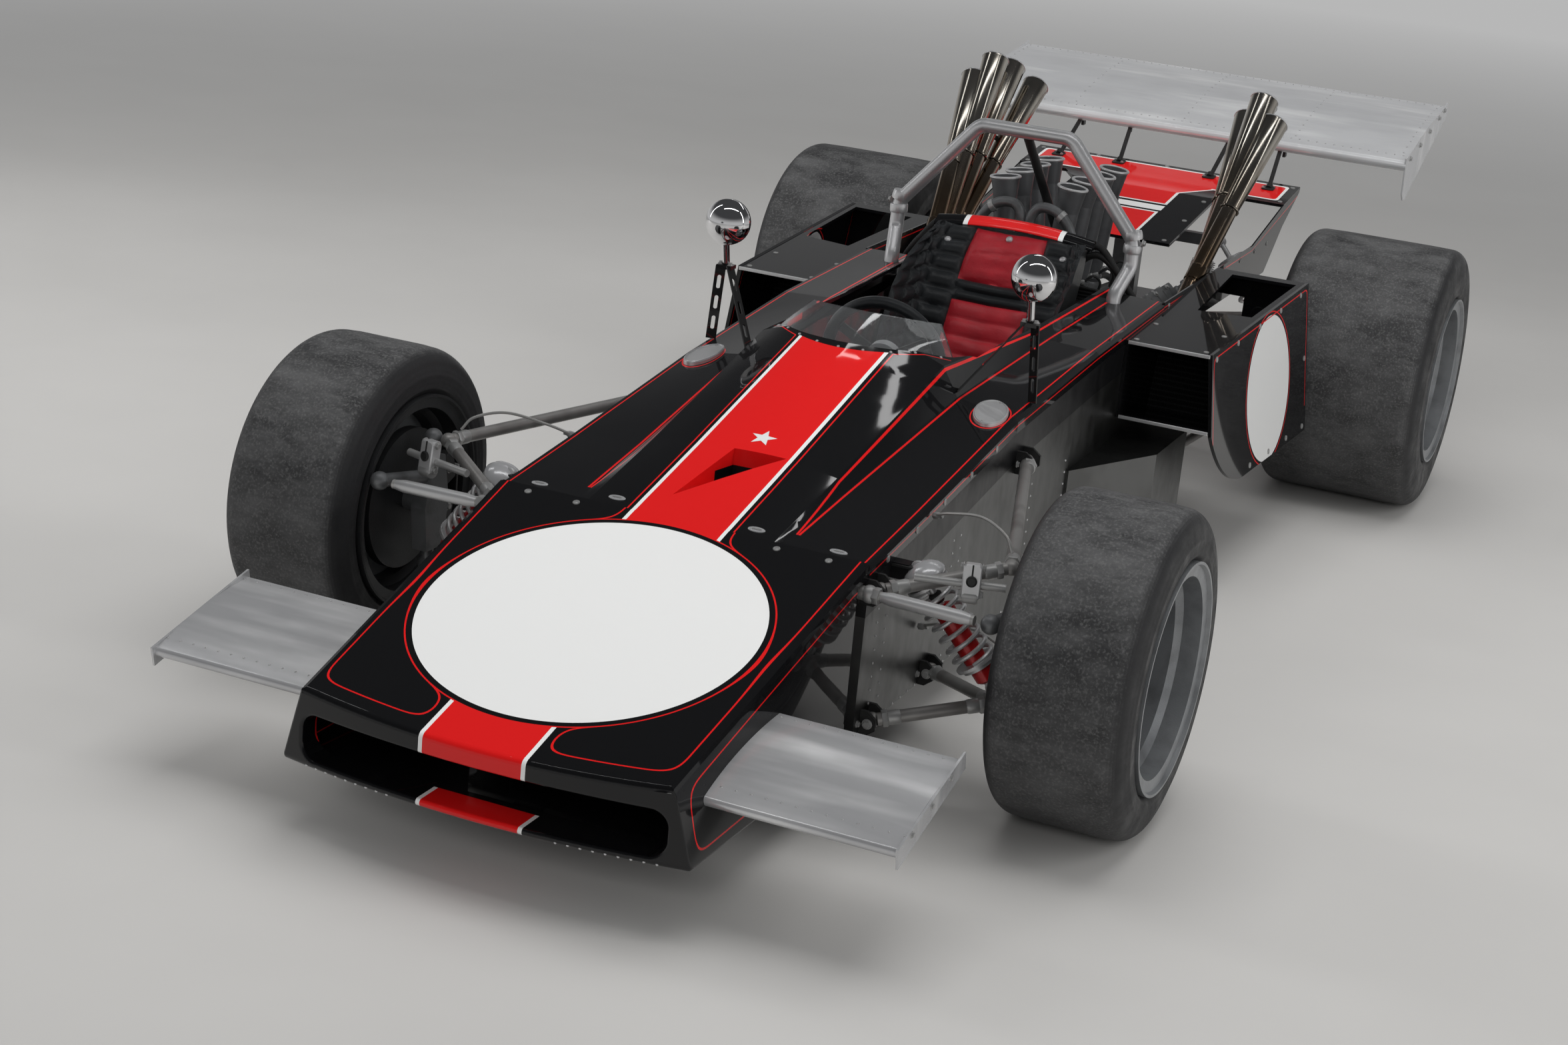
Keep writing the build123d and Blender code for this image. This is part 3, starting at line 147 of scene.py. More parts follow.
class Paint:
    """One node material, with its object coordinates, noises and layers."""

    def __init__(self, name, base, roughness=0.5, metallic=0.0, **sockets):
        self.material = bpy.data.materials.new(name)
        self.material.use_nodes = True
        self.tree = self.material.node_tree
        self.shader = self.tree.nodes["Principled BSDF"]
        self.shader.inputs["Base Color"].default_value = (*base, 1)
        self.shader.inputs["Roughness"].default_value = roughness
        self.shader.inputs["Metallic"].default_value = metallic
        for socket, value in sockets.items():
            self.shader.inputs[socket.replace("_", " ")].default_value = value
        self.base = base
        coordinates = self.tree.nodes.new("ShaderNodeTexCoord")
        self.place = coordinates.outputs["Object"]
        split = self.tree.nodes.new("ShaderNodeSeparateXYZ")
        self.tree.links.new(self.place, split.inputs[0])
        self.x, self.y, self.z = (Field(self.tree, out) for out in split.outputs)
        geometry = self.tree.nodes.new("ShaderNodeNewGeometry")
        facing = self.tree.nodes.new("ShaderNodeSeparateXYZ")
        self.tree.links.new(geometry.outputs["True Normal"], facing.inputs[0])
        self.up = Field(self.tree, facing.outputs["Z"])
        self.side_up = self.up.above(0.6)
        self.sideways = abs(Field(self.tree, facing.outputs["X"]))
        self.colour = None

    def texture(self, kind, stretch=(1, 1, 1), **inputs):
        """A texture node on the object's coordinates, stretched along the axes."""
        mapping = self.tree.nodes.new("ShaderNodeMapping")
        mapping.inputs["Scale"].default_value = stretch
        self.tree.links.new(self.place, mapping.inputs["Vector"])
        texture = self.tree.nodes.new(kind)
        for name, value in inputs.items():
            texture.inputs[name].default_value = value
        self.tree.links.new(mapping.outputs[0], texture.inputs["Vector"])
        return texture

    def noise(self, scale, detail=4.0, stretch=(1, 1, 1), roughness=0.55):
        """A noise of about 0 to 1 round 0.5."""
        texture = self.texture("ShaderNodeTexNoise", stretch, Scale=scale, Detail=detail, Roughness=roughness)
        return Field(self.tree, texture.outputs["Fac"])

    def cells(self, scale, feature="F1"):
        """Distance to the nearest of scattered points."""
        texture = self.texture("ShaderNodeTexVoronoi", Scale=scale)
        texture.feature = feature
        return Field(self.tree, texture.outputs["Distance"])

    def stain(self, colour, scale, detail, low, high, most=1.0, stretch=(1, 1, 1)):
        """Patches of another colour where a noise runs high."""
        self.layer(self.span(self.noise(scale, detail, stretch), low, high, 0.0, most), colour)

    def span(self, value, low, high, out_low=0.0, out_high=1.0):
        """A value spread from one range to another, held at its ends."""
        node = self.tree.nodes.new("ShaderNodeMapRange")
        node.inputs["From Min"].default_value = low
        node.inputs["From Max"].default_value = high
        node.inputs["To Min"].default_value = out_low
        node.inputs["To Max"].default_value = out_high
        self.tree.links.new(value.socket, node.inputs["Value"])
        return Field(self.tree, node.outputs["Result"])

    def track(self, value, points):
        """A line of straight runs: what the points give between them."""
        total = None
        for (low, start), (high, end) in zip(points, points[1:]):
            step = self.span(value, low, high, 0.0, end - start)
            total = step if total is None else total + step
        return total + points[0][1]

    def layer(self, mask, colour):
        """Paints a colour over what is there wherever the mask is 1."""
        node = self.tree.nodes.new("ShaderNodeMix")
        node.data_type = "RGBA"
        if self.colour is None:
            node.inputs["A"].default_value = (*self.base, 1)
        else:
            self.tree.links.new(self.colour, node.inputs["A"])
        node.inputs["B"].default_value = (*colour, 1)
        self.tree.links.new(mask.socket, node.inputs["Factor"])
        self.colour = node.outputs["Result"]
        self.tree.links.new(self.colour, self.shader.inputs["Base Color"])

    def rough(self, value):
        self.tree.links.new(value.socket, self.shader.inputs["Roughness"])

    def metal(self, value):
        self.tree.links.new(value.socket, self.shader.inputs["Metallic"])

    def bump(self, height, depth):
        """Relief of that depth in metres."""
        node = self.tree.nodes.new("ShaderNodeBump")
        node.inputs["Distance"].default_value = depth
        self.tree.links.new(height.socket, node.inputs["Height"])
        last = self.shader.inputs["Normal"]
        if last.is_linked:
            self.tree.links.new(last.links[0].from_socket, node.inputs["Normal"])
        self.tree.links.new(node.outputs["Normal"], last)


# Materials
def gloss_black(name):
    """Old gloss enamel: deep clear coat, faint ripple and polishing haze."""
    paint = Paint(name, BLACK, 0.4, Coat_Weight=1.0, Coat_Roughness=0.03, Coat_IOR=1.42, Specular_IOR_Level=0.04)
    paint.bump(paint.noise(16, 2), 0.0006)
    return paint


def nose_paint():
    """Black wedge with the centre stripe, roundel and pinstriped panels."""
    paint = gloss_black("nose_paint")
    x, y, z = abs(paint.x), paint.y, paint.z
    crown = z.above(NOSE_CROWN_Z)
    along = (y - ROUNDEL_Y) / WEDGE_COS
    radius = length2(x, along)
    outer_half = paint.span(y, NOSE_FRONT_Y, NOSE_SPLIT_Y, NOSE_HALF_FRONT, NOSE_HALF_REAR)
    bow = paint.span(x * x, 0.0, NOSE_HALF_FRONT ** 2, NOSE_FRONT_Y, NOSE_FRONT_Y + 0.036)
    pattern = (x - STRIPE_HALF).merged(radius - ROUNDEL_R + STRIPE_EDGE, CORNER_BLEND)
    panel = (outer_half - x).merged(y - bow - 0.014, CORNER_BLEND)
    inside = pattern.merged(panel, CORNER_BLEND)
    pins = inside.near(PIN_GAP + STRIPE_EDGE, PIN) * crown * paint.side_up
    patch = crown.most(z.below(NOSE_UNDER_Z) * y.below(NOSE_FRONT_Y + 0.060))
    paint.layer(x.within(STRIPE_HALF, STRIPE_OUTER) * patch, WHITE)
    paint.layer(x.below(STRIPE_HALF) * patch, RED)
    paint.layer(pins, RED)
    paint.layer(radius.below(ROUNDEL_R + ROUNDEL_RING + PIN / 2) * crown, RED)
    paint.layer(radius.below(ROUNDEL_R + ROUNDEL_RING - PIN / 2) * crown, BLACK)
    paint.layer(radius.below(ROUNDEL_R) * crown, WHITE)
    top_edge = paint.span(y, NOSE_FRONT_Y, NOSE_SPLIT_Y, NOSE_TOP_AT_FRONT, NOSE_TOP_AT_SPLIT)
    side = (top_edge - z).merged(z - 0.110, SIDE_BLEND).merged(y - NOSE_FRONT_Y - 0.045, SIDE_BLEND)
    side = side.merged((y - NOSE_SPLIT_Y) * -1, SIDE_BLEND)
    paint.layer(side.near(0.026, PIN) * x.above(0.325) * abs(paint.up).below(0.5), RED)
    return paint


def cowl_paint():
    """The stripe up to the screen, pinstripes beside it and along the body's edges."""
    paint = gloss_black("cowl_paint")
    x, y = abs(paint.x), paint.y
    screen = paint.span(x * x, 0.0, 0.0390, SCREEN_FRONT_Y, -0.632)
    before = screen - y
    stripe_pin = x - STRIPE_HALF - STRIPE_EDGE - COWL_PIN_GAP
    paint.layer(x.within(STRIPE_HALF, STRIPE_OUTER) * before.above(0.012), WHITE)
    paint.layer(x.below(STRIPE_HALF) * before.above(0.012), RED)
    paint.layer(stripe_pin.near(0, PIN) * before.above(0.018), RED)
    paint.layer(before.near(0.018, PIN) * x.within(STRIPE_OUTER + COWL_PIN_GAP, 0.197), RED)
    rear_part = y.above(-1.415)
    hump = (x - paint.track(y, HUMP_LINE) - 0.004).near(0, PIN * 1.2) * rear_part
    shoulder = (x - paint.track(y, SHOULDER_LINE) - 0.006).near(0, PIN * 1.5) * rear_part
    edge = (x - paint.track(y, EDGE_LINE) + 0.016).near(0, PIN) * paint.up.above(0.15)
    side = (paint.z - paint.track(y, EDGE_HEIGHT) + 0.014).near(0, PIN) * x.above(0.36)
    for line in (hump, shoulder, edge, side):
        paint.layer(line, RED)
    oval = length2((x - OVAL_X) / 0.033, (y - OVAL_Y) / 0.062)
    paint.layer(oval.near(1.09, 0.075) * paint.side_up, RED)
    # Painted shade: the mouth at the rear of the stripe's recess is painted black, standing in for the opening's dark
    # inside.
    paint.layer(paint.z.below(0.4775) * y.within(-1.262, -1.19) * x.below(STRIPE_HALF), BLACK)
    return paint


def pod_paint():
    """Roundel on the outer plate and a pinstripe round its edges."""
    paint = gloss_black("pod_paint")
    x, y, z = abs(paint.x), paint.y, paint.z
    radius = length2(y - POD_ROUNDEL[0], z - POD_ROUNDEL[1])
    outer = x.above(0.560) * abs(paint.up).below(0.4)
    paint.layer(radius.near(POD_ROUNDEL_R + 0.008, PIN) * outer, RED)
    paint.layer(radius.below(POD_ROUNDEL_R) * outer, WHITE)
    top = paint.span(y, 0.0, POD_LENGTH, 0.565, 0.601)
    border = (top - z).merged((y - POD_LENGTH) * -1, 0.03).merged(y, 0.03)
    paint.layer(border.near(0.012, PIN) * outer * z.above(0.30), RED)
    return paint


def tail_paint():
    """Red deck edged with white: a band across the tail, a stem and the stripe before it."""
    paint = gloss_black("tail_paint")
    x, y = abs(paint.x), paint.y
    band = (x * -1 + 0.352).merged(y * -1 + 1.578, 0.02).merged(y - 1.444, 0.02)
    half = paint.track(y, ((1.20, 0.100), (1.37, 0.100), (1.445, 0.175)))
    stem = (half - x).least(y - 1.254).least(y * -1 + 1.50)
    shape = band.most(stem)
    paint.layer(shape.above(0), WHITE)
    paint.layer(shape.above(0.008), RED)
    paint.layer(x.below(0.100) * y.within(1.200, 1.240), WHITE)
    paint.layer(x.below(STRIPE_OUTER) * y.within(0.95, 1.188), WHITE)
    paint.layer(x.below(STRIPE_HALF) * y.within(0.95, 1.180), RED)
    return paint


def panel_paint():
    """Black engine side panels with a pinstripe under their top edge."""
    paint = gloss_black("panel_paint")
    top = paint.track(paint.y, ((0.3, 0.594), (1.12, 0.598), (1.592, 0.680)))
    paint.layer((top - paint.z).near(0.012, PIN), RED)
    return paint


def metal(name, colour, roughness, grain, scale, stretch=(1, 1, 1), dirt=None, metallic=1.0):
    """Bare or plated metal with smears in its gloss and, if asked, stains."""
    paint = Paint(name, colour, roughness, metallic)
    smear = paint.noise(scale, 3, stretch)
    paint.rough(paint.span(smear, 0.3, 0.7, max(0.02, roughness - grain), roughness + grain))
    if dirt:
        paint.stain(dirt, 9, 2, 0.50, 0.72)
    return paint


def cast(name, colour, roughness, metallic=0.75):
    """Cast or painted metal with a pebbled skin and grime in patches."""
    paint = Paint(name, colour, roughness, metallic)
    paint.bump(paint.noise(420, 2), 0.0003)
    paint.stain(tuple(c * 0.4 for c in colour), 22, 5, 0.5, 0.8, 0.7)
    return paint


def tyre_rubber():
    """Worn slick: grey scuffed crown with picked-up grit, darker smooth walls."""
    paint = Paint("tyre_rubber", (0.030, 0.030, 0.031), 0.60, Specular_IOR_Level=0.35)
    scuff = paint.noise(16, 8, (0.5, 1, 1), 0.7)
    paint.layer(paint.span(scuff, 0.38, 0.66, 0.0, 0.8), (0.098, 0.098, 0.099))
    drag = paint.noise(60, 5, (0.25, 1, 1), 0.7)
    paint.layer(paint.span(drag, 0.55, 0.75, 0.0, 0.35), (0.13, 0.13, 0.13))
    paint.stain((0.15, 0.15, 0.148), 210, 2, 0.5, 0.7, 0.45)
    specks = paint.cells(95).below(0.18) * paint.noise(30, 3).above(0.55)
    paint.layer(specks, (0.085, 0.085, 0.085))
    wall = paint.span(paint.sideways, 0.35, 0.75)
    paint.layer(wall * 0.92, (0.016, 0.016, 0.017))
    paint.rough(paint.span(scuff, 0.35, 0.7, 0.5, 0.85) - wall * 0.12)
    tread = wall.invert()
    paint.bump(paint.noise(130, 6) * tread, 0.0013)
    paint.bump(specks * tread, 0.0012)
    return paint


def leather(name, colour):
    """Soft vinyl: pebbled grain, slight sheen, worn lighter in patches."""
    paint = Paint(name, colour, 0.30, Sheen_Weight=0.02)
    paint.bump(paint.cells(900, "SMOOTH_F1"), 0.0003)
    paint.bump(paint.noise(45, 4), 0.0012)
    paint.stain(tuple(min(1, c * 2.0) for c in colour), 18, 5, 0.45, 0.75, 0.35)
    return paint


def clear_sheet():
    """Clear acrylic with light scratches."""
    paint = Paint("clear_acrylic", (0.93, 0.95, 0.96), 0.02, Transmission_Weight=0.97, IOR=1.3)
    paint.rough(paint.span(paint.noise(80, 5, (1, 4, 1)), 0.5, 0.8, 0.015, 0.08))
    return paint


def exhaust_metal():
    """Polished steel pipe, straw and brown where it runs hot."""
    paint = metal("exhaust_metal", (0.50, 0.47, 0.42), 0.12, 0.03, 12, (1, 1, 0.2))
    heat = paint.span(paint.z + paint.noise(8, 3) * 0.22, 0.74, 0.98, 1.0, 0.0)
    paint.layer(heat * 0.9, (0.23, 0.15, 0.085))
    paint.stain((0.17, 0.14, 0.115), 14, 2, 0.45, 0.75, 0.5, (1, 1, 0.15))
    return paint


def sheet_metal():
    """Dull riveted aluminium sheet, scratched and stained, black where the body colour comes down."""
    paint = metal("bare_sheet", (0.17, 0.172, 0.17), 0.36, 0.05, 18, (1, 2, 1), (0.135, 0.136, 0.134))
    edge = paint.track(paint.y, EDGE_HEIGHT)
    painted = (edge - paint.z).below(0.095) * abs(paint.x).above(0.30)
    paint.layer(painted, BLACK)
    paint.metal(painted.invert())
    return paint


def mirror_paint():
    """Chrome head on black drilled strips."""
    paint = metal("mirror_chrome", (0.80, 0.80, 0.81), 0.05, 0.01, 20)
    legs = paint.z.below(0.712)
    paint.layer(legs, (0.012, 0.012, 0.012))
    paint.metal(legs.invert())
    return paint


def wheel_paint():
    """Grey magnesium with a brushed lip, streaked with brake dust, its inboard side darkened as painted shade."""
    paint = Paint("wheel_alloy", (0.27, 0.28, 0.29), 0.38, 0.6)
    paint.bump(paint.noise(380, 2), 0.0003)
    paint.stain((0.12, 0.12, 0.122), 20, 5, 0.45, 0.8, 0.6)
    # Painted shade: the wheel's inboard side, towards the car's middle, darkened nearly to black.
    inboard_shade = paint.track(paint.y, ((-0.5, 0.716), (0.5, 0.640))) - abs(paint.x)
    paint.layer(inboard_shade.above(0) * 0.9, (0.012, 0.012, 0.013))
    return paint


def radiator_paint():
    """Black core with fine fins across flat tubes."""
    paint = Paint("radiator_core", (0.012, 0.012, 0.012), 0.5, 0.5)
    fins = (paint.x * 2200).math("SINE")
    tubes = (paint.z * 520).math("SINE").above(0.72)
    paint.bump(fins, 0.0008)
    paint.layer(tubes, (0.04, 0.04, 0.042))
    return paint


def wing_metal(name, colour, metallic):
    """Hand-polished aluminium sheet, milky in clouds with swirled polishing marks, and pale streaks painted on as
    reflections.
    """
    paint = Paint(name, (colour, colour * 1.005, colour * 1.02), 0.2, metallic)
    cloud = paint.noise(4, 3, (1.4, 3, 1), 0.5)
    paint.rough(paint.span(cloud, 0.3, 0.7, 0.15, 0.27))
    # Painted reflection: pale streaks along the sheet, standing in for the shine of the polished aluminium.
    paint.stain((0.90, 0.90, 0.90), 3.2, 3, 0.49, 0.68, 0.85, (0.5, 3.4, 1))
    paint.layer(paint.span(cloud, 0.42, 0.72, 0.0, 0.5), (colour * 0.76, colour * 0.765, colour * 0.78))
    paint.bump(paint.noise(4, 2, (1, 1.8, 1)), 0.0007)
    paint.bump(paint.noise(900, 2, (1, 0.05, 1)), 0.00006)
    return paint


materials = {
    "nose": nose_paint(),
    "cowl": cowl_paint(),
    "pod": pod_paint(),
    "tail": tail_paint(),
    "panel": panel_paint(),
    "black": gloss_black("black_paint"),
    "red": Paint("red_paint", RED, 0.25, Coat_Weight=1.0, Coat_Roughness=0.03),
    "white": Paint("white_paint", WHITE, 0.3, Coat_Weight=1.0, Coat_Roughness=0.03),
    "polished": wing_metal("polished_sheet", 0.55, 0.62),
    "wing": wing_metal("rear_wing_sheet", 0.66, 0.42),
    "sheet": sheet_metal(),
    "bright": metal("bright_sheet", (0.66, 0.66, 0.665), 0.38, 0.03, 12, metallic=0.76),
    "chrome": metal("chrome_plate", (0.70, 0.70, 0.71), 0.34, 0.02, 8, metallic=0.84),
    "mirror": mirror_paint(),
    "steel": metal("plated_steel", (0.55, 0.545, 0.53), 0.41, 0.03, 14, dirt=(0.40, 0.39, 0.375), metallic=0.76),
    "arm": metal("arm_steel", (0.38, 0.37, 0.36), 0.41, 0.03, 14, dirt=(0.24, 0.23, 0.22), metallic=0.76),
    "bolt": metal("bolt_steel", (0.46, 0.46, 0.455), 0.38, 0.03, 30, metallic=0.74),
    "satin_black": cast("satin_black", (0.02, 0.02, 0.02), 0.4, 0.2),
    "cast_grey": cast("cast_alloy", (0.20, 0.205, 0.21), 0.42),
    "wheel_grey": wheel_paint(),
    "tyre": tyre_rubber(),
    "seat": leather("black_vinyl", (0.008, 0.009, 0.010)),
    "seat_red": leather("red_vinyl", (0.24, 0.008, 0.014)),
    "screen": clear_sheet(),
    "exhaust": exhaust_metal(),
    "trumpet": cast("spun_alloy", (0.115, 0.117, 0.122), 0.42, 0.6),
    "radiator": radiator_paint(),
    "damper": Paint("damper_red", (0.42, 0.010, 0.012), 0.3, 0.3, Coat_Weight=0.6),
    "rubber": cast("black_rubber", (0.014, 0.014, 0.014), 0.6, 0.0),
    "lining": metal("foil_lining", (0.26, 0.26, 0.255), 0.22, 0.04, 20),
    # Black of the dial faces, used too as painted shade inside the trumpets and the pipe mouths.
    "dial": Paint("black_dials_and_painted_shade", (0.008, 0.008, 0.008), 0.4),
    "dial_mark": Paint("dial_white", (0.7, 0.7, 0.68), 0.5),
}

# Each finish with the nodes that wear it
FINISHES = {
    "nose": "nose_cowl", "cowl": "cockpit_cowl", "pod": "side_pod_left side_pod_right", "tail": "tail_panel",
    "panel": "engine_side_panels", "sheet": "tub", "screen": "windscreen", "seat": "seat steering_wheel",
    "satin_black": "dashboard hoop_brace wing_mount", "chrome": "roll_hoop", "mirror": "mirror_left mirror_right",
    "polished": "front_wing_left front_wing_right", "wing": "rear_wing", "bright": "oval_covers",
    "cast_grey": "engine_block cylinder_heads intake_manifold gearbox rear_uprights knuckle_left knuckle_right",
    "trumpet": "intake_stacks", "exhaust": "exhaust_left exhaust_right", "radiator": "radiators",
    "steel": "steering_rack drive_shafts front_coilovers rear_coilovers", "arm": "front_wishbones rear_links",
    "tyre": "tyre_front_left tyre_front_right tyre_rear_left tyre_rear_right",
    "wheel_grey": "wheel_front_left wheel_front_right wheel_rear_left wheel_rear_right",
}

for finish, names in FINISHES.items():
    for name in names.split():
        nodes[name].data.materials.clear()
        nodes[name].data.materials.append(materials[finish].material)


# Mesh building
UP = Vector((0, 0, 1))
AFT = Vector((0, 1, 0))
LEFT = Vector((1, 0, 0))
# A lathe's point on its axis, and how close points are welded
POINT_R = 1e-5
WELD = 2e-5
# Where lines towards the surface start: beside the car, above it and before the nose
BESIDE_X = 0.9
ABOVE_Z = 3
NOSE_CLEAR_Y = -2.4
# The usual small parts
RIVET_R = 0.0026
BUTTON_R = 0.0068


def across(axis):
    """Two directions square to an axis and to each other."""
    axis = Vector(axis).normalized()
    side = axis.cross(UP)
    if side.length < 0.1:
        side = axis.cross(AFT)
    side.normalize()
    return side, axis.cross(side)


def turns(count):
    """Angles of even steps round a circle."""
    return [2 * pi * i / count for i in range(count)]


def rectangle(wide, high, corner):
    """A centred outline with cut corners, anticlockwise."""
    x, y = wide / 2, high / 2
    return [(x - corner, -y), (x, -y + corner), (x, y - corner), (x - corner, y),
            (corner - x, y), (-x, y - corner), (-x, corner - y), (corner - x, -y)]


def inset(outline, amount):
    """An anticlockwise outline moved inwards."""
    moved = []
    for i, corner in enumerate(outline):
        before = (Vector(corner) - Vector(outline[i - 1])).normalized()
        after = (Vector(outline[(i + 1) % len(outline)]) - Vector(corner)).normalized()
        mean = before + after
        inward = Vector((-mean.y, mean.x)).normalized()
        square = max(0.35, inward.dot(Vector((-after.y, after.x))))
        moved.append(tuple(Vector(corner) + inward * amount / square))
    return moved


def smooth_path(points, steps=8):
    """Points on a smooth line through a few given ones."""
    points = [Vector(point) for point in points]
    ends = [points[0] * 2 - points[1], *points, points[-1] * 2 - points[-2]]
    path = []
    for a, b, c, d in zip(ends, ends[1:], ends[2:], ends[3:]):
        for i in range(steps):
            t = i / steps
            path.append((b * 2 + (c - a) * t + (a * 2 - b * 5 + c * 4 - d) * t * t
                         + (b * 3 - a - c * 3 + d) * t ** 3) / 2)
    return [*path, points[-1]]


class Form:
    """A piece in the making: one mesh that grows by simple shapes."""

    def __init__(self, *finishes):
        self.mesh = bmesh.new()
        self.finishes = finishes
        self.tint = 0

    def skin(self, rows, caps=True):
        """Faces between closed rows of as many points each."""
        made = [[self.mesh.verts.new(point) for point in row] for row in rows]
        count = len(made[0])
        for low, high in zip(made, made[1:]):
            for i in range(count):
                j = (i + 1) % count
                self.mesh.faces.new((low[i], low[j], high[j], high[i])).material_index = self.tint
        if caps:
            for row in (made[0][::-1], made[-1]):
                self.mesh.faces.new(row).material_index = self.tint
        return made

    def lathe(self, profile, place, axis, steps, closed=False):
        """A profile of (radius, height) pairs turned round an axis."""
        side, other = across(axis)
        axis = Vector(axis).normalized()
        rows = [[Vector(place) + axis * height + (side * cos(turn) + other * sin(turn)) * max(radius, POINT_R)
                 for turn in turns(steps)] for radius, height in profile]
        if closed:
            rows.append(rows[0])
        self.skin(rows, caps=not closed)

    def lathes(self, place, axis, *parts):
        """Profiles on one axis, each led by its finish and its steps."""
        for self.tint, steps, *profile in parts:
            self.lathe(profile, place, axis, steps)

    def ring(self, place, axis, radius, wire, steps, sides):
        """A round wire bent into a ring."""
        self.lathe([(radius + wire * cos(turn), wire * sin(turn)) for turn in turns(sides)], place, axis, steps, True)

    def ball(self, place, radius):
        """A sphere, as of a rod end."""
        rows = [(radius * sin(pi * i / 8), -radius * cos(pi * i / 8)) for i in range(9)]
        self.lathe(rows, place, UP, 14)

    def tube(self, path, radius, sides):
        """A round tube along a path."""
        path = [Vector(point) for point in path]
        rows, side = [], None
        for i, point in enumerate(path):
            ahead = (path[min(i + 1, len(path) - 1)] - path[max(i - 1, 0)]).normalized()
            side = side or across(ahead)[0]
            side = (side - ahead * side.dot(ahead)).normalized()
            other = ahead.cross(side)
            rows.append([point + (side * cos(turn) + other * sin(turn)) * radius for turn in turns(sides)])
        self.skin(rows)

    def slab(self, outline, place, right, up, thick, edge=0.001):
        """A plate with eased edges, raised from an outline in the plane of right and up."""
        right, up = Vector(right).normalized(), Vector(up).normalized()
        out = right.cross(up)
        inner = inset(outline, edge)
        layers = ((inner, 0), (outline, edge), (outline, thick - edge), (inner, thick))
        self.skin([[Vector(place) + right * x + up * y + out * depth for x, y in shape] for shape, depth in layers])

    def bar(self, start, end, wide, thick, facing, edge=0.001):
        """A flat bar between two points, its broad face turned one way."""
        start, end = Vector(start), Vector(end)
        run = end - start
        across_bar = Vector(facing).cross(run).normalized()
        out = run.cross(across_bar).normalized() * -1
        middle = (start + end) / 2 - out * thick / 2
        self.slab(rectangle(run.length, wide, min(wide, thick) * 0.2), middle, run, across_bar, thick, edge)

    def bolt(self, place, axis, radius):
        """A hexagon head on its washer."""
        washer, head = ((1.55, 0), (1.55, 0.22), (1.45, 0.3)), ((1.15, 0.28), (1.15, 1.0), (0.95, 1.2))
        for steps, profile in ((12, washer), (6, head)):
            self.lathe([(radius * reach, radius * rise) for reach, rise in profile], place, axis, steps)

    def rivet(self, place, axis, radius):
        """A domed head."""
        profile = ((1, 0), (0.85, 0.4), (0.45, 0.65), (0, 0.72))
        self.lathe([(radius * reach, radius * rise) for reach, rise in profile], place, axis, 8)

    def fastener(self, place, axis, radius):
        """A quarter-turn button: dished rim with a slotted head."""
        profile = ((1, 0), (0.96, 0.22), (0.72, 0.24), (0.62, 0.12), (0.5, 0.2), (0, 0.26))
        self.lathe([(radius * reach, radius * rise) for reach, rise in profile], place, axis, 14)

    def bolts(self, places, axis, radius, tint=1):
        """One bolt at each place, all facing one way."""
        self.tint = tint
        for place in places:
            self.bolt(place, axis, radius)

    def mirror(self):
        """Adds the mirror image across the car's middle."""
        copy = bmesh.ops.duplicate(self.mesh, geom=[*self.mesh.verts, *self.mesh.edges, *self.mesh.faces])
        for item in copy["geom"]:
            if isinstance(item, bmesh.types.BMVert):
                item.co.x = -item.co.x
        return self

    def done(self, name, slot, body="root", smooth=38.0):
        """The finished object, riding on its body."""
        bmesh.ops.remove_doubles(self.mesh, verts=self.mesh.verts, dist=WELD)
        bmesh.ops.recalc_face_normals(self.mesh, faces=self.mesh.faces)
        data = bpy.data.meshes.new(name)
        self.mesh.to_mesh(data)
        self.mesh.free()
        for finish in self.finishes:
            data.materials.append(materials[finish].material)
        data.polygons.foreach_set("use_smooth", [True] * len(data.polygons))
        data.set_sharp_from_angle(angle=radians(smooth))
        piece = bpy.data.objects.new(name, data)
        bpy.context.collection.objects.link(piece)
        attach(piece, body)
        return piece


def level(line, along_y):
    """The value of a broken line at a station."""
    for (low, start), (high, end) in zip(line, line[1:]):
        if along_y <= high:
            return start + (end - start) * (along_y - low) / (high - low)
    return line[-1][1]


class Skin:
    """The surface of some CAD nodes, for setting small things on it."""

    def __init__(self, *names):
        points, faces = [], []
        for name in names:
            data = nodes[name].data
            start = len(points)
            points += [vertex.co.copy() for vertex in data.vertices]
            faces += [[start + i for i in polygon.vertices] for polygon in data.polygons]
        self.tree = BVHTree.FromPolygons(points, faces)

    def land(self, start, direction):
        """Where a line from a point meets the surface, and the way it faces there."""
        direction = Vector(direction).normalized()
        place, normal, _, _ = self.tree.ray_cast(Vector(start), direction)
        if place is None:
            raise ValueError(f"nothing lies {tuple(direction)} of {tuple(start)}")
        return place, normal if normal.dot(direction) < 0 else -normal

    def drop(self, x, y):
        """The surface under a point seen from above."""
        return self.land((x, y, ABOVE_Z), -UP)

    def tops(self, x, y):
        """The surface from above on both sides of the car, or once in its middle."""
        return [self.drop(x * way, y) for way in ((1, -1) if x else (1,))]

    def flank(self, y, z, way=1):
        """The surface seen from one side of the car."""
        return self.land((BESIDE_X * way, y, z), (-way, 0, 0))

    def flanks(self, y, z):
        return [self.flank(y, z, way) for way in (1, -1)]


def studs(make, landings, radius):
    """One small part at each landing."""
    for place, normal in landings:
        make(place, normal, radius)


def line_length(line):
    """The length of a broken line."""
    return sum((Vector(b) - Vector(a)).length for a, b in zip(line, line[1:]))


def along(line, share):
    """The point at a share of a broken line's length, corners softened."""
    def exact(part):
        left = min(max(part, 0.0), 1.0) * line_length(line)
        for a, b in zip(line, line[1:]):
            length = (Vector(b) - Vector(a)).length
            if left <= length:
                return Vector(a).lerp(Vector(b), left / length)
            left -= length
        return Vector(line[-1])
    if share < 0.018 or share > 0.982:
        return exact(share)
    near = [exact(share + step) for step in (-0.018, -0.009, 0.0, 0.009, 0.018)]
    return (near[0] + near[1] + near[2] + near[3] + near[4]) / 5


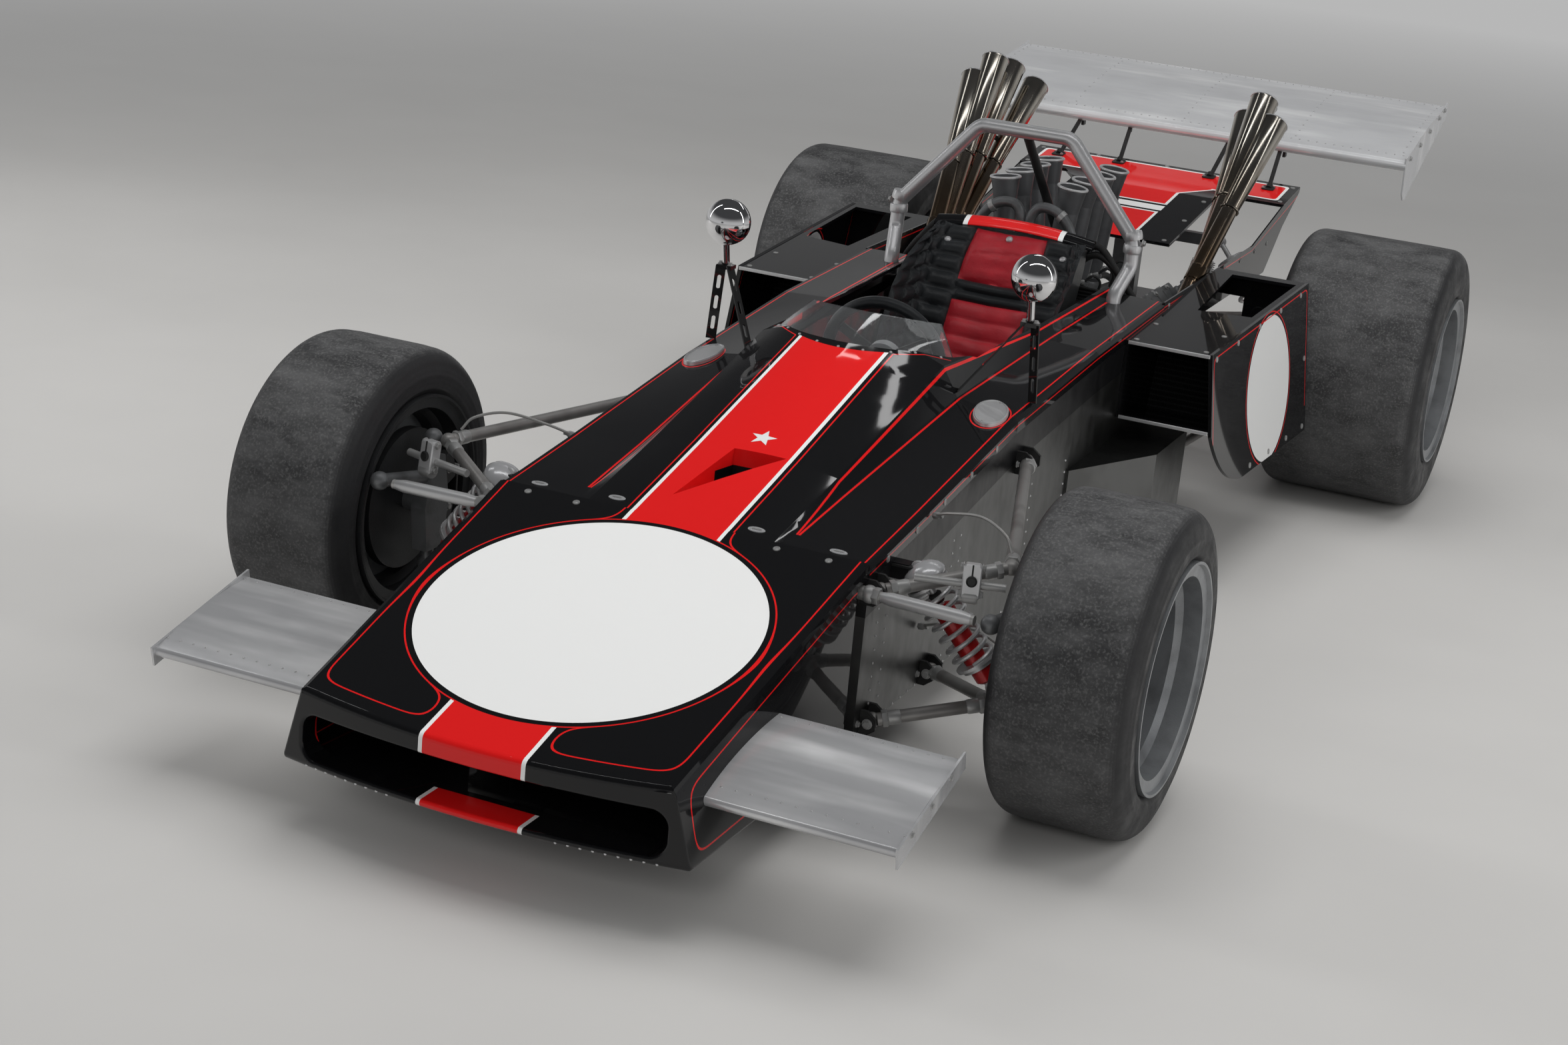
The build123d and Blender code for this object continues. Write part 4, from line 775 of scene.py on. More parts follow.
# Seat
SEAT_FACE = ((-0.402, 0.150), (-0.385, 0.200), (-0.10, 0.190), (-0.045, 0.200), (0.060, 0.400), (0.215, 0.660),
             (0.258, 0.706))
SEAT_BACK = ((-0.400, 0.100), (0.036, 0.100), (0.150, 0.400), (0.275, 0.640), (0.284, 0.700))
SEAT_ROWS = 230
RIB_PITCH = 0.0435
SEAT_EDGES = (0.0, 0.094, 0.166, 0.236, 0.300)
SEAT_STEPS = (10, 10, 10, 8)
# How the seat wraps round its sitter: distance from the middle and reach forwards
SEAT_WRAP = ((0.0, 0.0), (0.148, 0.0), (0.182, 0.022), (0.196, 0.060), (0.203, 0.130))
HEADREST_DEPTH = 0.142
ROLLS_DEPTH = 0.194
SEAT_LENGTH = line_length(SEAT_FACE)
WRAP_LENGTH = line_length(SEAT_WRAP)


def hump(share, sharpness):
    """0 at both ends of a cell and 1 in its middle, steep at the seams."""
    return max(0.0, sin(pi * min(max(share, 0.0), 1.0))) ** sharpness


def seat_relief(across_seat, down):
    """How far the upholstery stands out at a distance from the middle and from the top."""
    x = abs(across_seat)
    column = next((i for i, edge in enumerate(SEAT_EDGES[1:]) if x <= edge + 1e-9), 3)
    share = (x - SEAT_EDGES[column]) / (SEAT_EDGES[column + 1] - SEAT_EDGES[column])
    if column:
        slant = down - 0.22 * max(0.0, x - SEAT_EDGES[2])
        return 0.0125 * hump(slant / RIB_PITCH % 1.0, 0.6) * hump(share, 0.22) + 0.002
    side = (1 - (x / SEAT_EDGES[1]) ** 10)
    fold = noise.noise(Vector((across_seat * 14, down * 34, 3.0))) * 0.004
    if down < HEADREST_DEPTH:
        gather = abs(sin(atan2(across_seat, down - 0.030 + 1e-4) * 7)) * max(0.0, 1 - down / 0.11) * 0.0022
        crease = 1 - hump(((down + across_seat * 0.10) / 0.068) % 1.0, 0.14)
        return side * (hump(down / HEADREST_DEPTH, 0.4) * 0.015 - 0.0075 * crease + fold - gather)
    if down < ROLLS_DEPTH:
        return side * 0.011 * hump((down - HEADREST_DEPTH) / 0.026 % 1.0, 0.6)
    return side * (0.005 + 0.008 * hump((down - ROLLS_DEPTH) / RIB_PITCH % 1.0, 0.45) + fold * 0.8)


def seat_point(across_seat, down):
    """A point of the seat's front face, the distance across measured along its wrap."""
    share = 1 - down / SEAT_LENGTH
    y, z = along(SEAT_FACE, share)
    ahead = along(SEAT_FACE, share + 0.01) - along(SEAT_FACE, share - 0.01)
    normal = Vector((-ahead.y, ahead.x)).normalized()
    x = abs(across_seat)
    bent = along(SEAT_WRAP, x / WRAP_LENGTH)
    back = min(1.0, max(0.0, (z - 0.24) / 0.14)) * (0.35 + 0.65 * min(1.0, max(0.0, (0.705 - z) / 0.16)))
    width, reach = bent.x, bent.y * back
    turned = along(SEAT_WRAP, x / WRAP_LENGTH + 0.02) - along(SEAT_WRAP, x / WRAP_LENGTH - 0.02)
    turned = Vector((turned.x, turned.y * back)).normalized()
    lift = seat_relief(across_seat, down) - 0.016 * max(0.0, 1 - x / 0.2)
    width -= turned.y * lift
    reach += turned.x * lift
    arch = -0.030 * (x / 0.29) ** 2 * max(0.0, 1 - down / 0.14)
    narrow = 1 - 0.08 * max(0.0, 1 - down / 0.10)
    way = 1 if across_seat >= 0 else -1
    rise = normal.y * reach * (0.5 if reach > 0.03 else 1.0)
    return Vector((way * width * narrow, y + normal.x * reach, z + rise + arch))


def seat_cushion():
    """The quilted seat: ribbed bolsters either side of a red band."""
    form = Form("seat", "seat_red")
    half = []
    for low, high, steps in zip(SEAT_EDGES, SEAT_EDGES[1:], SEAT_STEPS):
        half += [low + (high - low) * i / steps for i in range(steps)]
    half.append(SEAT_EDGES[-1])
    columns = [-x for x in half[:0:-1]] + half
    rows = []
    for i in range(SEAT_ROWS + 1):
        front = [seat_point(x, SEAT_LENGTH * i / SEAT_ROWS) for x in columns]
        y, z = along(SEAT_BACK, 1 - i / SEAT_ROWS)
        rows.append(front + [Vector((x, y, z)) for x in (0.180, 0.09, -0.09, -0.180)])
    made = form.skin(rows)
    middle, red = len(half) - 1, SEAT_STEPS[0]
    for i, (high, low) in enumerate(zip(made, made[1:])):
        if HEADREST_DEPTH < SEAT_LENGTH * (i + 0.5) / SEAT_ROWS < ROLLS_DEPTH:
            continue
        for j in range(middle - red, middle + red):
            form.mesh.faces.get((high[j], high[j + 1], low[j + 1], low[j])).material_index = 1
    piece = form.done("seat_cushion", "seat_vinyl", smooth=75)
    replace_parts(piece, "seat")
    snaps = Form("chrome")
    for x, down in ((0.0, 0.022), (0.150, 0.050), (-0.150, 0.050), (0.030, 0.395), (0.0, 0.60)):
        ahead = seat_point(x, down + 0.01) - seat_point(x, down - 0.01)
        out = ahead.cross(seat_point(x + 0.01, down) - seat_point(x - 0.01, down))
        out = out if out.y < 0 else -out
        snaps.lathe([(0.0085, -0.004), (0.0085, 0.0015), (0.007, 0.0035), (0.0035, 0.0048), (0, 0.005)],
                    seat_point(x, down), out, 16)
    snaps.done("seat_snaps", "chrome")


def headrest_lip():
    """The painted lip over the seat's top edge: red with white ends, black beyond."""
    form = Form("black", "red", "white")
    parts = ((-0.196, -0.124, 0), (-0.124, -0.112, 2), (-0.112, 0.112, 1), (0.112, 0.124, 2), (0.124, 0.196, 0))
    for low, high, form.tint in parts:
        rows = []
        steps = max(2, round((high - low) / 0.012))
        for i in range(steps + 1):
            x = low + (high - low) * i / steps
            middle = Vector((x, 0.277, 0.716 - 0.016 * (x / 0.19) ** 2))
            rows.append([middle + Vector((0, 0.017 * cos(turn), 0.0065 * sin(turn) + 0.008 * cos(turn)))
                         for turn in turns(14)])
        form.skin(rows)
    form.done("headrest_lip", "black_paint")


# Axles
FRONT_Y, REAR_Y = -1.303, 1.145
FRONT_R, REAR_R = 0.300, 0.334
ARM_X = 0.5767

# Springs and dampers
FRONT_COIL = (Vector((0.418, -1.343, 0.408)), Vector((0.5707, FRONT_Y, 0.2048)))
REAR_COIL = (Vector((0.250, 1.295, 0.560)), Vector((0.541, 1.2193, 0.240)))


def coilover(form, ends, coil_r, wire, coils):
    """Spring, perches, damper and eyes between two points."""
    top, foot = ends
    length, axis = (foot - top).length, (foot - top).normalized()
    side, other = across(axis)
    low, high = 0.15 * length, 0.76 * length
    steps = coils * 20
    path = []
    for i in range(steps + 1):
        share = i / steps
        rise = low + (high - low) * (share + sin(2 * pi * share) * -0.02)
        turn = 2 * pi * coils * share
        path.append(top + axis * rise + (side * cos(turn) + other * sin(turn)) * (coil_r - wire))
    form.tube(path, wire, 8)
    for at in (low - wire * 2.2, high + wire * 0.2):
        form.lathes(top, axis, (2, 24, (coil_r * 0.62, at), (coil_r * 1.02, at), (coil_r * 1.02, at + wire * 1.3),
                                (coil_r * 0.62, at + wire * 1.6)))
    form.lathes(
        top, axis,
        (2, 24, (coil_r * 0.78, high + wire * 1.8), (coil_r * 0.80, high + wire * 3.2),
         (coil_r * 0.66, high + wire * 3.4)),
        (2, 12, (0.007, 0.02 * length), (0.007, 0.45 * length)),
        (2, 16, (0.011, 0.93 * length), (0.0105, 0.97 * length)),
        (1, 24, (0.012, 0.30 * length), (0.0195, 0.315 * length), (0.0200, 0.60 * length), (0.0212, 0.61 * length),
         (0.0212, 0.915 * length), (0.015, 0.935 * length)),
        (3, 16, (0.010, 0.20 * length), (0.013, 0.215 * length), (0.011, 0.24 * length), (0.013, 0.265 * length),
         (0.010, 0.28 * length)))
    form.tint = 2
    for point in ends:
        form.ring(point, AFT, 0.0105, 0.0052, 20, 8)
        form.lathe([(0.0055, -0.014), (0.0055, 0.014)], point, AFT, 10)


def springs():
    """Both axles' coil-overs with their polished top caps."""
    for name, ends, coil_r, wire, coils in (("front", FRONT_COIL, 0.040, 0.0045, 7),
                                            ("rear", REAR_COIL, 0.038, 0.0055, 11)):
        form = Form("bright", "damper", "bright", "rubber")
        coilover(form, ends, coil_r, wire, coils)
        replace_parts(form.mirror().done(f"{name}_springs", "spring_steel"), f"{name}_coilovers")
    form = Form("polished", "satin_black")
    top, foot = FRONT_COIL
    back = (top - foot).normalized()
    form.lathe([(0.040, -0.007), (0.0430, -0.003), (0.0430, 0.001), (0.038, 0.011), (0.027, 0.021), (0.011, 0.028),
                (0, 0.029)], top - back * 0.018, back, 36)
    form.tint = 1
    form.bar(top + Vector((-0.050, 0, -0.004)), top + Vector((0.006, 0, -0.004)), 0.030, 0.006, UP)
    form.mirror().done("front_spring_caps", "chrome")


# Tyres and wheels: one row a corner
CORNERS = [(f"{end}_{name}", side, axle_y, track, radius, tread, spider_x)
           for end, axle_y, track, radius, tread, spider_x in (("front", FRONT_Y, 1.532, FRONT_R, 0.250, -0.042),
                                                               ("rear", REAR_Y, 1.415, REAR_R, 0.392, -0.060))
           for name, side in (("left", 1), ("right", -1))]
TYRE_STEPS = 144
WALL_R = 0.219
SHOULDER = 0.034
# How far the moulded rings stand out, by their place on the wall
WALL_RINGS = {1: 0.0014, 2: 0.0014, 8: 0.0009, 9: 0.0009}


def arc(start, middle, end, steps):
    """Points of the arc through three others, without its last."""
    (ax, ay), (bx, by), (cx, cy) = start, middle, end
    d = 2 * (ax * (by - cy) + bx * (cy - ay) + cx * (ay - by))
    ux = ((ax * ax + ay * ay) * (by - cy) + (bx * bx + by * by) * (cy - ay) + (cx * cx + cy * cy) * (ay - by)) / d
    uy = ((ax * ax + ay * ay) * (cx - bx) + (bx * bx + by * by) * (ax - cx) + (cx * cx + cy * cy) * (bx - ax)) / d
    radius = sqrt((ax - ux) ** 2 + (ay - uy) ** 2)
    first, last = atan2(ay - uy, ax - ux), atan2(cy - uy, cx - ux)
    turn = (last - first + pi) % (2 * pi) - pi
    return [(ux + radius * cos(first + turn * i / steps), uy + radius * sin(first + turn * i / steps))
            for i in range(steps)]


def tyre(name, side, axle_y, track, radius, tread):
    """A slick with moulded rings on its walls and a scuffed, slightly crowned tread."""
    half, bead, edge = tread / 2, tread / 2 - 0.006, radius - SHOULDER
    wall = arc((half + 0.002, WALL_R), (half + 0.005, (WALL_R + edge) / 2), (half, edge), 14)
    round_off = arc((half, edge), (half - SHOULDER * 0.36, radius - SHOULDER * 0.33),
                    (half - SHOULDER * 1.15, radius - 0.002), 10)
    side_line = [(bead - 0.014, 0.1915), (bead - 0.001, 0.1915), (bead - 0.001, 0.208), (bead + 0.002, 0.2115),
                 *((x + WALL_RINGS.get(i, 0), r) for i, (x, r) in enumerate(wall)), *round_off,
                 (half - SHOULDER * 1.15, radius - 0.002), (half * 0.55, radius - 0.0008)]
    inner = [(half - 0.022, radius - 0.020), (half - 0.012, WALL_R + 0.008)]
    line = side_line + [(-x, r) for x, r in reversed(side_line)] + [(-x, r) for x, r in reversed(inner)] + inner
    form = Form("tyre")
    form.lathe([(r, x) for x, r in line], (side * track / 2, axle_y, radius), LEFT, TYRE_STEPS, closed=True)
    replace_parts(form.done(f"slick_{name}", "tyre", f"wheel_{name}", smooth=32), f"tyre_{name}")


def wheel_fittings(name, side, axle_y, track, radius, tread, spider_x):
    """Hub nut's ring and cap, drive bolts, rim bolts, valve and balance weights."""
    form = Form("bolt", "bright", "satin_black")
    out = LEFT * side

    def at(depth, reach, turn):
        return Vector((side * track / 2, axle_y, radius)) + out * depth + Vector((0, cos(turn), sin(turn))) * reach

    face = spider_x + 0.034
    form.tint = 1
    form.lathe([(0.031, 0.0), (0.045, 0.0), (0.047, 0.003), (0.045, 0.007), (0.031, 0.008)],
               at(face, 0, 0), out, 36, True)
    form.lathe([(0.0, 0.0), (0.026, 0.0), (0.0255, 0.004), (0.020, 0.007), (0.018, 0.003), (0.0, 0.002)],
               at(face + 0.034, 0, 0), out, 30)
    form.bolts([at(spider_x + 0.030, 0.076, turn + 0.26) for turn in turns(6)], out, 0.0062, 0)
    form.bolts([at(spider_x + 0.006, 0.1665, turn + 0.08) for turn in turns(24)], out, 0.0040, 0)
    inward = Vector((0, cos(0.9), sin(0.9))) * -1
    form.lathes(at(tread / 2 - 0.058, 0.160, 0.9), inward + out * 0.5,
                (2, 12, (0.0052, -0.012), (0.0052, 0.010), (0.0034, 0.013), (0.0034, 0.026), (0.0042, 0.027),
                 (0.0042, 0.037), (0.003, 0.040)))
    form.tint = 1
    for turn, width in ((2.1, 0.028), (4.4, 0.018)):
        form.slab(rectangle(width, 0.014, 0.002), at(tread / 2 - 0.012, 0.1835, turn), (0, -sin(turn), cos(turn)), out,
                  0.003 * side, 0.0008)
    form.done(f"wheel_fittings_{name}", "bright_steel", f"wheel_{name}")


# Front suspension details
TRACK_ROD = (Vector((0.402, -1.4841, 0.392)), Vector((0.578, -1.4918, 0.392)))
FRONT_MOUNTS = ((-1.413, 0.132), (-1.113, 0.132), (-1.443, 0.388), (-0.662, 0.440))
LOWER_JOINT, UPPER_JOINT = Vector((ARM_X, FRONT_Y, 0.176)), Vector((ARM_X, FRONT_Y, 0.434))


def rod_dressing(form, start, end, radius):
    """Lock nuts and necks at both ends of a rod, as its threaded ends have."""
    start, end = Vector(start), Vector(end)
    for point, way in ((start, end - start), (end, start - end)):
        form.lathe([(radius + 0.0035, 0.018), (radius + 0.0040, 0.020), (radius + 0.0040, 0.027),
                    (radius + 0.0025, 0.029)], point, way, 6)
        form.lathe([(radius + 0.0012, 0.029), (radius + 0.0016, 0.033), (radius + 0.0016, 0.048),
                    (radius, 0.052)], point, way, 16)


def track_rods():
    """Tapered sleeves with their inner joints."""
    form = Form("bright", "bolt")
    start, end = TRACK_ROD
    run, length = end - start, (end - start).length
    form.lathes(start, run,
                (0, 28, (0.0092, 0.004), (0.0122, 0.022), (0.0124, length * 0.5), (0.0122, length - 0.022),
                 (0.0092, length - 0.004)),
                (1, 6, (0.015, -0.012), (0.0155, -0.010), (0.0155, -0.002), (0.0145, 0)))
    form.ball(start - run.normalized() * 0.020, 0.0165)
    form.mirror().done("track_rod_sleeves", "bright_steel", "steering_rack")


def clamp_blocks():
    """Split blocks in front of the springs, each on its short rod."""
    form = Form("bright", "bolt", "satin_black")
    centre = Vector((0.545, -1.424, 0.436))
    facing = Vector((0.30, -1.0, 0.12)).normalized()
    up = (UP - facing * facing.z).normalized()
    right = up.cross(facing)
    form.slab(rectangle(0.033, 0.064, 0.005), centre - facing * 0.012, right, up, 0.024, 0.002)
    form.tint = 2
    form.slab(rectangle(0.0030, 0.028, 0.0006), centre + up * 0.0175 + facing * 0.0112, right, up, 0.0022, 0.0002)
    form.lathe([(0.0098, 0.010), (0.0098, 0.0150), (0.0080, 0.0165), (0.0070, 0.0145), (0, 0.0145)],
               centre + up * 0.002, facing, 20)
    for way in (1, -1):
        form.bolts([centre + up * height + right * (0.0162 * way) for height in (0.026, -0.022)], right * way, 0.0050)
    form.lathe([(0.0125, -0.014), (0.0135, -0.010), (0.0135, 0.010), (0.0125, 0.014)], centre - up * 0.026, right, 20)
    form.lathe([(0.0072, -0.100), (0.0072, 0.060)], centre - facing * 0.004 - up * 0.006, right, 16)
    form.mirror().done("front_clamp_blocks", "bright_steel")


def front_mounts():
    """Brackets, bolts and lock nuts of the front arms."""
    form = Form("bolt", "satin_black")
    tub = Skin("tub")
    ear = [(-0.028, -0.024), (0.0, -0.024), (0.018, -0.010), (0.018, 0.010), (0.0, 0.024), (-0.028, 0.024)]
    for y, z in FRONT_MOUNTS:
        x = tub.flank(y, z)[0].x if z < 0.42 else 0.376
        root = Vector((x + 0.0153, y, z))
        rod_dressing(form, root, LOWER_JOINT if z < 0.2 else UPPER_JOINT, 0.012)
        form.tint = 1
        for way in (1, -1):
            form.slab(ear, (x + 0.013, y + way * 0.0205 - 0.0025, z), LEFT, UP, -0.005, 0.0008)
        for way in (1, -1):
            form.bolts([root + AFT * (way * 0.0235)], AFT * way, 0.0065, 0)
        form.bolts([(x, y + step * 1.15, z) for step in (-0.030, 0.030)], LEFT, 0.0045, 0)
    form.mirror().done("front_rod_nuts", "bright_steel")


def brake_lines():
    """Hard lines from the hull to the knuckles, with their unions."""
    form = Form("steel", "bolt")
    for path in (((0.376, -1.17, 0.455), (0.42, -1.20, 0.475), (0.49, -1.235, 0.492), (0.545, -1.262, 0.478),
                  (0.566, -1.275, 0.452)),
                 ((0.376, -1.18, 0.24), (0.43, -1.20, 0.262), (0.50, -1.22, 0.272), (0.56, -1.245, 0.262))):
        form.tube(smooth_path(path), 0.0028, 8)
    form.tint = 1
    for place in ((0.378, -1.17, 0.455), (0.378, -1.18, 0.24)):
        form.lathe([(0.0062, -0.003), (0.0068, 0.0), (0.0068, 0.008), (0.0045, 0.011), (0.0045, 0.018)], place,
                   (1, -0.3, 0.2), 6)
    form.mirror().done("front_brake_lines", "bright_steel")


def brakes():
    """Calipers on the front knuckles, behind the axle."""
    for name, side in (("left", 1), ("right", -1)):
        form = Form("satin_black", "bolt")
        disc = Vector((side * 0.670, FRONT_Y, FRONT_R))
        for turn in (-0.34, 0.34):
            out, flat = Vector((0, cos(turn), sin(turn))), Vector((0, -sin(turn), cos(turn)))
            for way in (side, -side):
                centre = disc + out * 0.116 + LEFT * way * 0.014
                form.tint = 0
                form.slab(rectangle(0.050, 0.062, 0.008), centre, flat.cross(LEFT * way), flat, 0.022, 0.003)
                form.bolts([centre + LEFT * way * 0.022], LEFT * way, 0.006)
        form.tint = 0
        bridge = disc + AFT * 0.146
        form.bar(bridge - UP * 0.050, bridge + UP * 0.050, 0.060, 0.008, AFT)
        for height in (-0.036, 0.036):
            form.lathes(bridge + UP * height, LEFT, (1, 10, (0.004, -0.036), (0.004, 0.036)))
        form.done(f"brake_caliper_front_{name}", "cast_grey", f"knuckle_{name}")


# Engine details
BORES = [0.420 + 0.112 * i for i in range(4)]
DECK_UP = Vector((0.695, 0, 0.719))
HEAD_SIDE = Vector((0.719, 0, -0.695))
DECK_MIDDLE = Vector((0.2213, 0, 0.4393))


def trumpet_details():
    """Rolled bright lips, black plugs in the bores as painted shade, base collars, injectors and the throttle linkage.
    """
    lean = Vector((0.1, 0, 1)).normalized()
    lips, fuel = Form("bright", "dial"), Form("cast_grey", "bolt", "rubber", "steel")
    side = Vector((1, 0, -0.1)).normalized()
    tilt = side + UP * 0.6
    for y in BORES:
        base = Vector((0.052, y, 0.4725))
        lips.tint = 0
        lips.ring(base + lean * 0.3290, lean, 0.0345, 0.0036, 40, 10)
        # Painted shade: a black plug down each bore stands for the trumpet's dark inside.
        lips.lathes(base, lean, (1, 24, (0.0236, 0.20), (0.0240, 0.268)))
        fuel.lathes(base, lean,
                    (0, 28, (0.0275, 0.0), (0.036, 0.0), (0.036, 0.010), (0.031, 0.014), (0.030, 0.040),
                     (0.0275, 0.044)),
                    (0, 28, (0.0278, 0.052), (0.0300, 0.053), (0.0300, 0.060), (0.0278, 0.061)))
        fuel.bolts([base + Vector((0, way * 0.043, -0.003)) for way in (1, -1)], UP, 0.005)
        port = base + lean * 0.075 + side * 0.026
        fuel.lathe([(0.0075, 0), (0.0075, 0.012), (0.0055, 0.014), (0.0055, 0.026), (0.0035, 0.030)], port, tilt, 12)
        fuel.tint = 2
        start = port + tilt.normalized() * 0.028
        fuel.tube(smooth_path([start, start + Vector((0.020, 0.006, 0.016)), start + Vector((0.034, 0.022, -0.004)),
                               (0.128, y + 0.030, 0.505)], 6), 0.0033, 8)
        fuel.tint = 3
        fuel.bar((0.016, y + 0.020, 0.520), (0.034, y + 0.020, 0.500), 0.009, 0.003, AFT)
        fuel.bar((0.128, y - 0.03, 0.472), (0.130, y - 0.03, 0.502), 0.014, 0.004, AFT)
    fuel.lathe([(0.0085, 0), (0.0085, 0.395)], (0.130, 0.398, 0.502), AFT, 16)
    fuel.lathe([(0.0045, 0), (0.0045, 0.40)], (0.016, 0.395, 0.520), AFT, 12)
    lips.mirror().done("trumpet_lips", "stack_grey")
    fuel.mirror().done("fuel_injection", "cast_grey")


def head_details():
    """Rocker cover ribs, bolts, breather and plug leads."""
    form = Form("cast_grey", "bolt", "rubber")
    top, low = DECK_MIDDLE + DECK_UP * 0.082, DECK_MIDDLE + DECK_UP * 0.052
    for i in range(9):
        form.slab(rectangle(0.070, 0.006, 0.002), top + AFT * (0.375 + i * 0.0525) - DECK_UP * 0.0005,
                  HEAD_SIDE, AFT, -0.0045, 0.0012)
    for way in (1, -1):
        form.bolts([top + HEAD_SIDE * (0.038 * way) + AFT * y for y in (0.372, 0.472, 0.572, 0.683, 0.783)],
                   DECK_UP, 0.0048)
        form.bolts([low + HEAD_SIDE * (0.0485 * way) + Vector((0, 0.352 + i * 0.0515, -0.0005)) for i in range(10)],
                   DECK_UP, 0.0034)
    port = DECK_MIDDLE + HEAD_SIDE * 0.052 + DECK_UP * 0.026
    for i, y in enumerate(BORES):
        form.tint = 0
        form.slab(rectangle(0.070, 0.046, 0.014), port + AFT * y - HEAD_SIDE * 0.0005, AFT, DECK_UP, 0.007, 0.0015)
        form.bolts([port + AFT * (y + way * 0.0285) + HEAD_SIDE * 0.0065 for way in (1, -1)], HEAD_SIDE, 0.0045)
        plug = DECK_MIDDLE + HEAD_SIDE * 0.053 + DECK_UP * 0.012 + AFT * (y + 0.048)
        boot = plug + HEAD_SIDE * 0.030
        form.lathes(plug, HEAD_SIDE, (2, 12, (0.0085, 0), (0.0095, 0.006), (0.0075, 0.022), (0.0045, 0.032)))
        path = [boot, boot + HEAD_SIDE * 0.020 + UP * 0.010, (0.352 - i * 0.002, y * 0.6 + 0.17, 0.468 + i * 0.009),
                (0.340, 0.345, 0.500 + i * 0.009), (0.262, 0.322, 0.555 + i * 0.008), (0.120, 0.330, 0.560 + i * 0.008),
                (0.028 + i * 0.006, 0.345, 0.545)]
        form.tube(smooth_path(path, 7), 0.0042, 8)
    form.lathes(top + AFT * 0.800 - HEAD_SIDE * 0.010, DECK_UP,
                (0, 20, (0.018, -0.002), (0.018, 0.016), (0.014, 0.020), (0.014, 0.030), (0.020, 0.033), (0.020, 0.040),
                 (0.012, 0.043)))
    form.mirror().done("rocker_covers", "cast_grey")


def coolant_pipes():
    """Bent pipes with their hose clips, and hoses in front of the intakes."""
    form = Form("cast_grey", "bolt", "rubber")
    form.tube(smooth_path([(0.012, 0.350, 0.640), (0.010, 0.350, 0.712), (0.020, 0.351, 0.742), (0.038, 0.352, 0.754),
                           (0.070, 0.352, 0.750), (0.098, 0.353, 0.728), (0.118, 0.354, 0.690), (0.124, 0.356, 0.640),
                           (0.132, 0.360, 0.590)]), 0.0125, 14)
    for place, way in (((0.010, 0.350, 0.690), UP), ((0.086, 0.3525, 0.739), (1, 0, -0.7)),
                       ((0.1235, 0.356, 0.650), (0.05, 0, -1))):
        form.lathes(place, way, (1, 18, (0.0125, -0.006), (0.0155, -0.006), (0.0155, 0.006), (0.0125, 0.006)))
    form.tint = 2
    for lift in (0.0, 0.020):
        form.tube(smooth_path([(0.118, 0.332, 0.560 + lift), (0.150, 0.322, 0.640 + lift), (0.196, 0.318, 0.672 + lift),
                               (0.246, 0.322, 0.640), (0.292, 0.345, 0.575), (0.318, 0.42, 0.520)]), 0.0085, 10)
    form.mirror().done("coolant_pipes", "cast_grey")


def ignition_cap():
    """The distributor with its eight towers and the plate before it."""
    form = Form("cast_grey", "bolt", "satin_black")
    form.lathes((0, 0.352, 0.468), UP,
                (0, 28, (0.040, 0.0), (0.040, 0.062), (0.034, 0.068)),
                (2, 28, (0.043, 0.066), (0.045, 0.070), (0.045, 0.090), (0.036, 0.104), (0.012, 0.108)))
    for turn in turns(8):
        form.lathe([(0.0070, 0), (0.0070, 0.016), (0.005, 0.018)],
                   (0.026 * cos(turn), 0.352 + 0.026 * sin(turn), 0.566), UP, 10)
    form.bar((0, 0.344, 0.56), (0, 0.344, 0.70), 0.034, 0.010, -AFT)
    form.tint = 0
    form.slab(rectangle(0.150, 0.026, 0.004), (0, 0.338, 0.640), LEFT, UP, -0.012, 0.002)
    form.bolts([(x, 0.3265, 0.640) for x in (-0.060, 0.060)], -AFT, 0.006)
    form.done("ignition_cap", "cast_grey")


# One row a pipe from the front: foot and tip
PIPE_ROUTES = (
    (Vector((0.340, 0.664, 0.566)), Vector((0.402, 1.034, 0.932))),
    (Vector((0.336, 0.708, 0.566)), Vector((0.362, 1.066, 0.980))),
    (Vector((0.330, 0.752, 0.566)), Vector((0.342, 1.150, 0.956))),
    (Vector((0.324, 0.796, 0.566)), Vector((0.292, 1.216, 0.906))),
)


def exhaust_details():
    """Slip joints, springs and rolled tips of the eight pipes, with black plugs in their mouths as painted shade."""
    form = Form("exhaust", "chrome", "dial", "bolt")
    for foot, tip in PIPE_ROUTES:
        length, way = (tip - foot).length, (tip - foot).normalized()
        # The first profile is a black plug inside the tip: painted shade in the pipe's mouth.
        form.lathes(tip, way,
                    (2, 28, (0.0255, -0.120), (0.0318, -0.012)),
                    (0, 36, (0.0205, -0.54 * length), (0.0222, -0.535 * length), (0.0352, -0.004), (0.0358, 0.0),
                     (0.0346, 0.0012), (0.0336, -0.004), (0.0260, -0.16)))
        form.ring(foot + way * length * 0.458, way, 0.0222, 0.0030, 28, 8)
        form.lathe([(0.0212, 0.010), (0.0236, 0.012), (0.0236, 0.052), (0.0212, 0.056)], foot, way, 28)
        form.tint = 1
        form.ring(tip, way, 0.0350, 0.0017, 36, 8)
        form.tint = 3
        side, other = across(way)
        for turn in (0.6, 2.7):
            out = side * cos(turn) + other * sin(turn)
            start = foot + way * 0.004 + out * 0.030
            form.tube([start + way * (0.060 * i / 60) + (out * cos(i) + way.cross(out) * sin(i)) * 0.0032
                       for i in range(61)], 0.0009, 5)
    form.mirror().done("exhaust_rings", "exhaust_steel")
    stay = Form("satin_black")
    for share in (0.30, 0.62):
        points = [foot.lerp(tip, share) + Vector((0, 0.012, -0.012)) for foot, tip in PIPE_ROUTES]
        for a, b in zip(points, points[1:]):
            stay.bar(a, b, 0.014, 0.003, (0.4, 1, -0.6))
    foot, tip = PIPE_ROUTES[3]
    stay.bar((0.300, 0.935, 0.594), foot.lerp(tip, 0.30) + Vector((0, 0.004, -0.018)), 0.016, 0.004, LEFT)
    stay.mirror().done("exhaust_stays", "black_steel")


